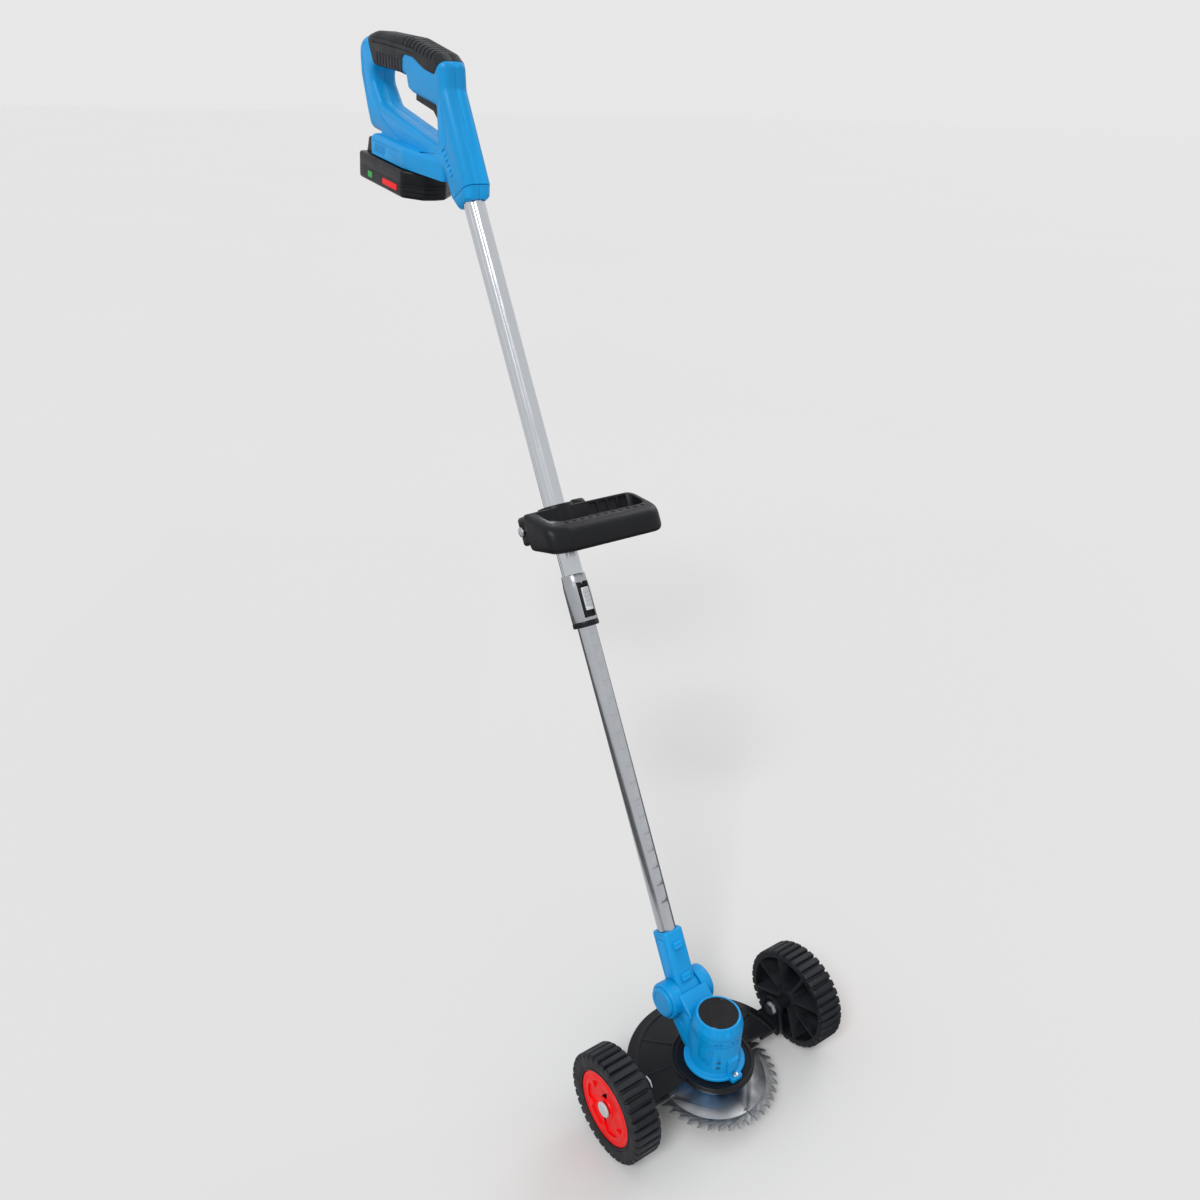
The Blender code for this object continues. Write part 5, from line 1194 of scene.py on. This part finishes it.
def build_auxiliary_handle():
    place = POLE @ Matrix.Translation(Vector((0, 0, LOOP_HEIGHT_ON_POLE)) * MM)
    wall_rear = -UPPER_TUBE_RADIUS - 0.7
    wall_front = wall_rear - LOOP_WALL
    outer = rounded(
        [
            (LOOP_LEFT, wall_rear), (LOOP_LEFT, LOOP_FRONT + 8), (LOOP_LEFT + 24, LOOP_FRONT),
            (LOOP_RIGHT, LOOP_FRONT), (LOOP_RIGHT, wall_rear),
        ],
        [7.0, 14.0, 12.0, 20.0, 14.0],
        12,
    )
    inner = rounded(
        [
            (LOOP_LEFT + 15, wall_front), (LOOP_LEFT + 15, LOOP_FRONT + LOOP_BAR + 9),
            (LOOP_LEFT + 30, LOOP_FRONT + LOOP_BAR), (LOOP_RIGHT - 9, LOOP_FRONT + LOOP_BAR),
            (LOOP_RIGHT - 9, wall_front),
        ],
        [3.0, 4.0, 4.0, 12.0, 10.0],
        12,
    )
    span = wall_rear - LOOP_FRONT

    def sheared(points, height_rear, height_front):
        return [
            (x, n, height_rear + (height_front - height_rear) * (wall_rear - n) / span) for x, n in points
        ]

    def band(points, layers):
        return skin([sheared(inset(points, shrink), rear, front) for shrink, rear, front in layers])

    loop = band(
        outer,
        [
            (5.6, -25.2, -39.8), (3.4, -24.8, -38.6), (1.6, -24.0, -36.5), (0.5, -22.8, -33.8),
            (0.0, -21.0, -31.0), (0.0, 13.0, -22.0), (0.5, 15.4, -18.2), (1.7, 17.2, -15.2),
            (3.6, 18.3, -13.4), (6.0, 18.8, -12.6),
        ],
    )
    hub = rod(UPPER_TUBE_RADIUS + 8.3, -27.3, 19.6, ROUND, edge=1.2)
    bolt_at = (UPPER_TUBE_RADIUS + CLAMP_BOLT_RADIUS + 2.6, 0.0)
    ear_rear = bolt_at[0] + 6.5
    left_ear = block((CLAMP_EAR_LEFT, wall_rear - 3.1, -17.3), (-8.0, ear_rear, 16.7), 4.0, 5)
    right_ear = block((8.0, wall_rear - 2.6, -11.3), (CLAMP_EAR_RIGHT, ear_rear - 0.8, 12.2), 2.0, 4)
    cut(loop, band(inner, [(0.0, -40.0, -60.0), (0.0, 40.0, 20.0)]))
    join(loop, hub, left_ear, right_ear)
    cut(loop, rod(UPPER_TUBE_RADIUS + GAP, -60, 60, ROUND))
    cut(loop, block((-2.5, 5.0, -60), (2.5, 40.0, 60)))
    head_seat = CLAMP_EAR_LEFT + 4.5
    cut(
        loop,
        rod(CLAMP_BOLT_RADIUS + GAP, CLAMP_EAR_LEFT - 5, 60, SMALL_ROUND, "X", bolt_at),
        rod(7.4, CLAMP_EAR_LEFT - 20, head_seat, MEDIUM_ROUND, "X", bolt_at),
    )
    pockets = []
    for height in (-17.0, 0.0):
        for k in range(4):
            low_x = 33.0 + 14.0 * k
            low = (low_x, wall_front - 3, height)
            pockets.append(block(low, (low_x + 11.0, wall_front + 2.0, height + 13.0), 0.8, 2))
    cut(loop, merged(pockets))
    # Round dimples along the front bar's top and scallops along its foot
    dimples = []
    for k in range(11):
        x = -24.0 + 10.5 * k
        drop = (wall_rear - (LOOP_FRONT + 13.0)) / span
        height = 18.8 + (-12.6 - 18.8) * drop
        dimples.append(rod(2.1, height - 2.6, height + 7.0, 16, centre=(x, LOOP_FRONT + 13.4)))
    cut(loop, merged(dimples))
    scallops = []
    for k in range(12):
        x = -22.0 + 9.5 * k
        scallops.append(block((x - 2.4, LOOP_FRONT - 3.0, -44.0), (x + 2.4, LOOP_FRONT + 5.3, -36.9)))
    cut(loop, merged(scallops))
    piece(loop, "loop_handle", place, "auxiliary_handle", "black", ["auxiliary_handle"], 0.6, 36.0)

    knob_low = CLAMP_EAR_RIGHT + GAP
    knob_high = knob_low + KNOB_THICKNESS
    lobes = []
    steps = 120
    for i in range(steps):
        angle = math.tau * i / steps
        radius = KNOB_RADIUS - 2.2 + 2.2 * math.cos(6 * angle)
        lobes.append((bolt_at[0] + radius * math.cos(angle), bolt_at[1] + radius * math.sin(angle)))
    knob = loft(
        [
            (knob_low, inset(lobes, 1.5)), (knob_low + 0.6, inset(lobes, 0.5)), (knob_low + 1.5, lobes),
            (knob_high - 2.6, lobes), (knob_high - 1.0, inset(lobes, 0.7)),
            (knob_high, inset(lobes, 2.4)),
        ],
        "X",
    )
    bolt_end = knob_low + 11.0
    cut(knob, rod(CLAMP_BOLT_RADIUS + GAP, knob_low - 2, bolt_end + GAP, SMALL_ROUND, "X", bolt_at))
    cut(knob, ring(9.0, 16.0, knob_high - 1.2, knob_high + 1, ROUND, "X", bolt_at))
    piece(knob, "clamp_star_knob", place, "clamp_knob", "black", ["clamp_knob"], 0.0, 36.0)

    hexagon = circle(6.2, 6, bolt_at)
    head = loft(
        [(head_seat - 7.0, inset(hexagon, 0.7)), (head_seat - 6.4, hexagon), (head_seat - GAP, hexagon)], "X"
    )
    shank = rod(CLAMP_BOLT_RADIUS, head_seat - 2, bolt_end, SMALL_ROUND, "X", bolt_at)
    piece(join(head, shank), "clamp_hex_bolt", place, "auxiliary_handle", "steel", ["clamp_bolt"], 0.2, 28.0)


# ---------------------------------------------------------------- handle housing


def handle_outline():
    """The housing's side view from the pole's foot: up the column, along the grip, down the rear leg."""
    corners = [
        (-12.3, 6.7, 0), (12.3, -6.7, 0), (27.6, 3.1, 0), (43.3, 31.5, 10), (127.3, 33.5, 20),
        (211.0, 45.0, 0), (208.5, 67.0, 0), (236.0, 72.0, 14), (244.0, 92.0, 30), (256.5, 134.0, 30),
        (256.0, 172.0, 26), (206.0, 180.0, 60), (118.0, 170.5, 60), (52.0, 153.5, 12), (36.5, 143.0, 12),
        (35.0, 118.0, 14), (-13.6, 23.0, 0),
    ]
    return cornered(corners, 10)


def handle_hole():
    corners = [
        (54.5, 59.0, 6), (54.5, 100.0, 3), (114.0, 113.0, 0), (124.0, 117.5, 0), (127.5, 131.0, 3),
        (147.0, 135.0, 8), (216.0, 143.0, 14), (223.0, 128.0, 20), (201.3, 99.5, 16),
    ]
    return cornered(corners, 8)


def line_groove(points, width, face, depth):
    """A groove along a line of (u, v) points on the side face at x = face, whose sign gives the side."""
    sign = 1.0 if face > 0 else -1.0
    left = []
    right = []
    for i, point in enumerate(points):
        here = Vector(point)
        before = Vector(points[max(0, i - 1)])
        after = Vector(points[min(len(points) - 1, i + 1)])
        normal = (after - before).normalized()
        offset = Vector((-normal.y, normal.x)) * width / 2
        left.append(tuple(here + offset))
        right.append(tuple(here - offset))
    low, high = sorted((face - sign * depth, face + sign * 4.0))
    return prism(left + right[::-1], low, high, "X")


def build_handle():
    outline = handle_outline()
    hole = handle_hole()
    half = HANDLE_HALF_WIDTH
    shell = pillow(outline, half, HANDLE_EDGE, steps=7)
    cut(shell, pillow(hole, half, 6.0, steps=6, flare=True))

    plan = [
        (-DOCK_HALF_WIDTH, DOCK_LENGTH), (-DOCK_HALF_WIDTH, -6.0), (-half + 1, -84.0), (half - 1, -84.0),
        (DOCK_HALF_WIDTH, -6.0), (DOCK_HALF_WIDTH, DOCK_LENGTH),
    ]
    plan = rounded(plan, [8, 16, 8, 8, 16, 8], 8)
    to_dock = place_matrix(DOCK_PLACE, DOCK_SLOPE)
    base = loft(
        [
            (0.0, plan), (DOCK_HEIGHT - 6.0, plan), (DOCK_HEIGHT - 4.0, inset(plan, 0.5)),
            (DOCK_HEIGHT - 2.0, inset(plan, 1.9)), (DOCK_HEIGHT - 0.6, inset(plan, 4.0)),
            (DOCK_HEIGHT, inset(plan, 6.0)),
        ]
    )
    join(shell, transform(base, to_dock))

    room = pillow(inset(outline, SHELL_WALL), half - SHELL_WALL, HANDLE_EDGE - SHELL_WALL, steps=2)
    cut(room, prism(inset(hole, -SHELL_WALL), -half, half, "X"))
    rake = -POLE_TILT
    cut(room, swung(block((-30, -40, -20), (30, 40, 34)), rake))
    cut(room, transform(block((-40, -90, -30), (40, 100, RAIL_HEIGHT + 3.4)), to_dock))
    bosses = [(228.0, 158.0), (222.0, 86.0), (104.0, 60.5), (46.0, 122.0)]
    for boss in bosses:
        cut(room, rod(4.6, -half, half, SMALL_ROUND, "X", boss))
    cut(shell, room)
    cut(shell, swung(rod(UPPER_TUBE_RADIUS + GAP, -10.0, TUBE_IN_HANDLE + GAP, ROUND), rake))

    neck_low = (-RAIL_NECK_HALF - GAP, -33.0, -5.0)
    neck = block(neck_low, (RAIL_NECK_HALF + GAP, 120, RAIL_NECK_HEIGHT + 1))
    head_low = (-RAIL_HEAD_HALF - GAP, -33.0, RAIL_NECK_HEIGHT)
    head = block(head_low, (RAIL_HEAD_HALF + GAP, 120, RAIL_HEIGHT + GAP))
    cut(shell, transform(neck, to_dock), transform(head, to_dock))

    slot = TRIGGER_HALF_WIDTH + 0.5
    cut(
        shell,
        prism(
            [(55.6, 84.0), (129.0, 104.0), (129.0, 121.0), (113.0, 127.0), (55.6, 112.0)], -slot, slot, "X"
        ),
    )
    button_at = (74.0, 146.0)
    cut(shell, rod(5.0 + GAP, half - 6, half + 4, MEDIUM_ROUND, "X", button_at))
    for boss in bosses:
        cut(shell, rod(1.7, -half + 5.0, half + 1, SMALL_ROUND, "X", boss))
        cut(shell, rod(3.7, half - 3.6, half + 1, MEDIUM_ROUND, "X", boss))

    region_corners = [
        (40.0, 146.0, 3), (54.0, 132.0, 4), (78.0, 137.5, 3), (106.0, 150.0, 3), (126.0, 153.0, 3),
        (132.0, 149.0, 3), (136.0, 120.0, 0), (190.0, 120.0, 0), (213.0, 146.0, 10), (222.0, 164.0, 10),
        (232.0, 195.0, 0), (40.0, 195.0, 0),
    ]
    region = cornered(region_corners, 8)
    depth = GRIP_COVER_THICKNESS
    seat = prism(region, -half - 5, half + 5, "X")
    core = pillow(inset(outline, depth), half - depth, HANDLE_EDGE - depth, steps=7)
    cut(core, pillow(inset(hole, -depth), half - depth + 0.2, 6.0, steps=6, flare=True))
    cut(seat, core)
    cut(shell, seat)
    cover = prism(inset(region, GAP), -half - 5, half + 5, "X")
    skin_shape = pillow(inset(outline, -0.4), half + 0.4, HANDLE_EDGE, steps=7)
    cut(skin_shape, pillow(inset(hole, 0.4), half + 0.6, 6.0, steps=6, flare=True))
    common(cover, skin_shape)
    under = depth - GAP
    inner_skin = pillow(inset(outline, under), half - under, HANDLE_EDGE - under, steps=7)
    cut(inner_skin, pillow(inset(hole, -under), half - under + 0.2, 6.0, steps=6, flare=True))
    cut(cover, inner_skin)
    cut(cover, rod(5.8, half - 6, half + 4, MEDIUM_ROUND, "X", button_at))

    # Cross ribs over the grip's front half, and long grooves along its sides
    tools = []
    for k in range(9):
        u = 58.0 + 8.4 * k
        v = 155.2 + 0.24 * (u - 58.0)
        slab = block((-30.0, -0.9, -8.5), (30.0, 0.9, 12.0))
        tools.append(moved(swung(slab, math.radians(14.0)), (0, u, v)))
    for k in range(8):
        tools.append(
            moved(block((-30.0, -0.8, -14.0), (30.0, 0.8, 8.5)), (0, 143.0 + 8.0 * k, 141.0 + 1.1 * k))
        )
    ribs = merged(tools)
    cut(ribs, pillow(inset(outline, 0.7), half - 0.7, HANDLE_EDGE - 0.6, steps=7))
    cut(cover, ribs)
    for side in (-1, 1):
        for offset in (0.0, 5.5):
            points = [
                (u, 159.0 - offset + 0.145 * (u - 100.0) - 0.00045 * (u - 150.0) ** 2)
                for u in range(104, 214, 6)
            ]
            cut(cover, line_groove(points, 1.1, side * (half + 0.4), 0.9))

    # Crease lines, vents and ridges of the shells
    grooves = []
    for side in (-1, 1):
        face = side * half
        grooves.append(line_groove([(41.5, 100.0), (30.0, 62.0), (44.0, 52.0)], 0.9, face, 0.5))
        grooves.append(
            line_groove([(60.0, 50.5), (128.0, 50.0), (196.0, 84.0), (222.0, 112.0)], 0.9, face, 0.5)
        )
        grooves.append(line_groove([(232.0, 100.0), (243.0, 134.0), (243.0, 158.0)], 0.9, face, 0.5))
        for k in range(6):
            u = 18.0 + 3.6 * k
            v = 24.0 + 5.2 * k
            grooves.append(line_groove([(u - 1.2, v + 6.4), (u + 4.4, v + 3.2)], 1.6, face, 1.0))
    for tool in grooves:
        cut(shell, tool)
    dock_ridges = []
    for side in (-1, 1):
        for k in range(7):
            low, high = sided(side, DOCK_HALF_WIDTH - 0.7, DOCK_HALF_WIDTH + 3)
            ridge = swung(block((low, -0.6, -6.0), (high, 0.6, 6.0)), math.radians(30.0))
            dock_ridges.append(moved(ridge, (0, 42.0 + 4.5 * k, 9.0)))
        low, high = sided(side, DOCK_HALF_WIDTH - 0.5, DOCK_HALF_WIDTH + 3)
        dock_ridges.append(block((low, 4.0, 16.0), (high, 74.0, 16.9)))
    cut(shell, transform(merged(dock_ridges), to_dock))
    # The collar round the pole's end is set off by a step
    ring_cut = ring(15.6, 40.0, 12.6, 13.4, ROUND)
    cut(shell, swung(ring_cut, rake))

    far = 400.0
    for side, name in ((-1, "left"), (1, "right")):
        low, high = sorted((side * GAP / 2, side * 60.0))
        keep = block((low, -far, -far), (high, far, far))
        half_shell = common(duplicate(shell), duplicate(keep))
        piece(half_shell, f"{name}_housing", HANDLE, "handle", "blue", [f"handle_shell_{name}"], 0.25, 30.0)
        half_cover = common(duplicate(cover), keep)
        piece(half_cover, f"{name}_grip", HANDLE, "handle", "soft_black", [f"grip_cover_{name}"], 0.2, 30.0)
    bpy.data.objects.remove(shell, do_unlink=True)
    bpy.data.objects.remove(cover, do_unlink=True)

    for number, boss in enumerate(bosses, 1):
        seat_x = half - 3.6
        screw = rod(1.4, -half + 7.0, seat_x + 1.0, 16, "X", boss)
        profile = [(3.2, seat_x + GAP), (3.2, seat_x + 1.4), (2.6, seat_x + 2.1), (1.6, seat_x + 2.4)]
        screw_head = join(turned(profile, SMALL_ROUND, "X", boss), screw)
        for size in ((1.7, 0.35), (0.35, 1.7)):
            low = (seat_x + 1.3, boss[0] - size[0], boss[1] - size[1])
            cut(screw_head, block(low, (seat_x + 6.0, boss[0] + size[0], boss[1] + size[1])))
        piece(
            screw_head,
            f"case_screw_{number}",
            HANDLE,
            "handle",
            "steel",
            [f"shell_screw_{number}"],
            0.0,
            30.0,
        )

    trigger_corners = [
        (57.6, 82.5, 2), (67.0, 84.0, 5), (79.0, 94.5, 8), (122.0, 105.5, 2), (120.5, 114.0, 1),
        (108.0, 117.5, 1), (57.6, 104.5, 1),
    ]
    trigger = pillow(cornered(trigger_corners, 8), TRIGGER_HALF_WIDTH, 0.9, steps=5)
    piece(trigger, "trigger_lever", HANDLE, "trigger", "black", ["trigger"], 0.0, 40.0)

    profile = [
        (5.0, half - 4.6), (5.0, half + 1.5), (4.7, half + 2.1), (4.1, half + 2.4), (3.2, half + 2.4),
        (2.8, half + 2.0),
    ]
    lock = turned(profile, MEDIUM_ROUND, "X", button_at)
    piece(lock, "lock_off_stud", HANDLE, "lock_off_button", "black", ["lock_off_button"], 0.0, 30.0)


# ---------------------------------------------------------------- battery


def build_battery():
    half = BATTERY_HALF_WIDTH
    top = -1.5
    floor = top - BATTERY_HEIGHT
    front = BATTERY_FRONT
    rear = BATTERY_REAR
    plan = rounded(
        [
            (-half, rear), (-half, front + 22.0), (-half + 20.0, front + 2.0), (0.0, front),
            (half - 20.0, front + 2.0), (half, front + 22.0), (half, rear),
        ],
        [7, 10, 8, 0, 8, 10, 7],
        8,
    )
    split = floor + 16.5
    room_plan = inset(plan, BATTERY_WALL)

    def rounded_edge(size):
        """(rise from the flat face, inset) pairs of a rounded edge, from the face outwards."""
        angles = [math.pi / 2 * k / 5 for k in range(6)]
        return [(size * (1 - math.cos(angle)), size * (1 - math.sin(angle))) for angle in angles]

    lower_layers = [(floor + rise, inset(plan, shrink)) for rise, shrink in rounded_edge(4.0)]
    lower = loft(lower_layers + [(split - GAP, plan)])
    cut(lower, prism(room_plan, floor + BATTERY_WALL, top - BATTERY_WALL))
    # Grooves above and below the band across the front
    for height in (floor + 7.0, floor + 12.6):
        belt = loft(
            [
                (height, inset(plan, -2.0)), (height + 0.9, inset(plan, -2.0)),
                (height + 0.9, inset(plan, 0.5)), (height, inset(plan, 0.5)),
            ],
            "Z",
            True,
        )
        keep = block((-60, front - 5, floor - 5), (60, front + 40.0, top + 20))
        cut(lower, common(belt, keep))
    piece(lower, "battery_tray", DOCK, "battery", "black", ["battery_lower_case"], 0.2, 32.0)

    high_layers = [(top - rise, inset(plan, shrink)) for rise, shrink in rounded_edge(3.0)]
    high_layers.reverse()
    upper = loft([(split, plan)] + high_layers)
    hump_front = DOCK_LENGTH + 0.6
    neck = block((-RAIL_NECK_HALF, -20.0, top - 1), (RAIL_NECK_HALF, DOCK_LENGTH + 5, RAIL_NECK_HEIGHT + 2))
    head = block(
        (-RAIL_HEAD_HALF, -20.0, RAIL_NECK_HEIGHT + GAP), (RAIL_HEAD_HALF, DOCK_LENGTH + 5, RAIL_HEIGHT)
    )
    hump_side = [
        (hump_front, top - 2), (rear - 2, top - 2), (rear - 6, 6.0), (rear - 9.0, 17.0), (hump_front, 17.0)
    ]
    hump = pillow(rounded(hump_side, [0, 0, 4, 4, 1], 6), 25.0, 3.0, steps=6)
    join(upper, neck, head, hump)
    cut(upper, prism(room_plan, floor + BATTERY_WALL, top - BATTERY_WALL))
    for side in (-1, 1):
        cut(upper, block((side * 10.0 - 1.0, -21.0, 2.0), (side * 10.0 + 1.0, -8.0, 9.5)))
    button_half = 11.0
    room_low = (-button_half - GAP, hump_front + 3.0, 10.0)
    cut(upper, block(room_low, (button_half + GAP, hump_front + 12.0, 20.0)))
    ribs = []
    for k in range(9):
        low_x = -20.0 + 4.6 * k
        ribs.append(block((low_x, rear - 0.6, floor + 19.0), (low_x + 2.0, rear + 4.0, top - 3.2)))
    cut(upper, merged(ribs))
    piece(upper, "battery_lid", DOCK, "battery", "black", ["battery_upper_case"], 0.2, 32.0)

    for name, look, y_low, y_high in (
        ("battery_label_panel", "red", -2.0, 38.0),
        ("battery_charge_window", "green", 68.0, 80.0),
    ):
        plate = rounded([(y_low, -27.0), (y_high, -27.0), (y_high, -20.0), (y_low, -20.0)], 2.0, 6)
        panel = loft([(-half - 0.35, inset(plate, 0.3)), (-half - 0.1, plate), (-half + 0.8, plate)], "X")
        panel.name = name
        panel.matrix_world = DOCK
        panel.data.materials.append(LOOKS[look])
        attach(panel, "battery")

    latch_y = hump_front + 7.5
    button = block((-button_half, latch_y - 4.2, 13.8), (button_half, latch_y + 4.2, 19.0), 0.9, 4)
    grips = [
        block((-8.0, latch_y - 2.9 + 2.1 * k, 18.4), (8.0, latch_y - 2.1 + 2.1 * k, 21.0)) for k in range(3)
    ]
    cut(button, merged(grips))
    piece(
        button, "battery_latch", DOCK, "battery_release_button", "grey", ["battery_release_button"], 0.0, 34.0
    )


# ---------------------------------------------------------------- stage


CAMERA_LENS = 31.28
CAMERA_PLACE = Vector((-0.6211, -0.9521, 1.0373))
CAMERA_RIGHT = Vector((0.81495, -0.579, 0.02482))
CAMERA_DOWN = Vector((-0.23293, -0.36646, -0.9008))
CAMERA_AHEAD = Vector((0.53066, 0.72833, -0.43352))
WORLD_STRENGTH = 0.8
DARK = (0.1, 0.1, 0.1, 1.0)
# Name, place in metres and turn in degrees of each grey card
FLAGS = (
    ("left_flag", (-0.62, 0.2, 0.004), -36.0),
    ("right_flag", (0.62, -0.5, 0.004), -36.0),
)
# Name, direction, strength and spread in degrees of each light
SUNS = (
    ("key", (0.75, 0.45, -1.0), 1.9, 18.0),
    ("rim", (-0.9, -0.35, -0.7), 0.7, 30.0),
)


def build_stage():
    size = 60.0
    mesh = bpy.data.meshes.new("floor")
    mesh.from_pydata(
        [(-size, -size, 0), (size, -size, 0), (size, size, 0), (-size, size, 0)], [], [(0, 1, 2, 3)]
    )
    floor = linked(mesh, "floor")
    n = Nodes("floor")
    tone = n.ramp(n.noise(0.6, 2.0), [(0.0, (0.555, 0.555, 0.555, 1.0)), (1.0, (0.565, 0.565, 0.565, 1.0))])
    n.put(n.shader.inputs["Base Color"], tone)
    n.shader.inputs["Roughness"].default_value = 0.9
    n.shader.inputs["Specular IOR Level"].default_value = 0.1
    mesh.materials.append(n.material)

    bpy.context.scene.view_settings.view_transform = "Standard"
    world = bpy.data.worlds.new("studio")
    bpy.context.scene.world = world
    world.use_nodes = True
    background = world.node_tree.nodes["Background"]
    background.inputs["Color"].default_value = (1.0, 1.0, 1.0, 1.0)
    background.inputs["Strength"].default_value = WORLD_STRENGTH

    # Grey cards on the floor beside the pole, seen only in reflections, give bright metal its darker edges
    for name, place, turn in FLAGS:
        card = bpy.data.meshes.new(name)
        card.from_pydata(
            [(-0.45, -1.4, 0.0), (0.45, -1.4, 0.0), (0.45, 1.6, 0.0), (-0.45, 1.6, 0.0)], [], [(0, 1, 2, 3)]
        )
        made = linked(card, name)
        made.location = place
        made.rotation_euler = (0.0, 0.0, math.radians(turn))
        made.visible_camera = False
        made.visible_diffuse = False
        made.visible_shadow = False
        made.visible_transmission = False
        look = Nodes(name)
        look.put(look.shader.inputs["Base Color"], look.ramp(look.noise(2.0), [(0.0, DARK), (1.0, DARK)]))
        look.shader.inputs["Roughness"].default_value = 1.0
        look.shader.inputs["Specular IOR Level"].default_value = 0.0
        card.materials.append(look.material)

    # The suns light the floor evenly, so that it meets the world without a visible horizon
    for name, direction, strength, spread in SUNS:
        light = bpy.data.lights.new(name, "SUN")
        light.energy = strength
        light.angle = math.radians(spread)
        made = linked(light, name)
        made.rotation_euler = Vector(direction).to_track_quat("-Z", "Y").to_euler()

    camera = bpy.data.cameras.new("camera")
    camera.lens = CAMERA_LENS
    camera.sensor_width = 36.0
    camera.clip_start = 0.02
    made = linked(camera, "camera")
    turn = Matrix((CAMERA_RIGHT, -CAMERA_DOWN, -CAMERA_AHEAD)).transposed().to_4x4()
    made.matrix_world = Matrix.Translation(CAMERA_PLACE) @ turn
    bpy.context.scene.camera = made


build_stage()
build_disc()
build_guard()
build_motor_housing()
build_wheel(-1)
build_wheel(1)
build_lower_pole()
build_upper_pole()
build_auxiliary_handle()
build_handle()
build_battery()

bpy.context.view_layer.update()
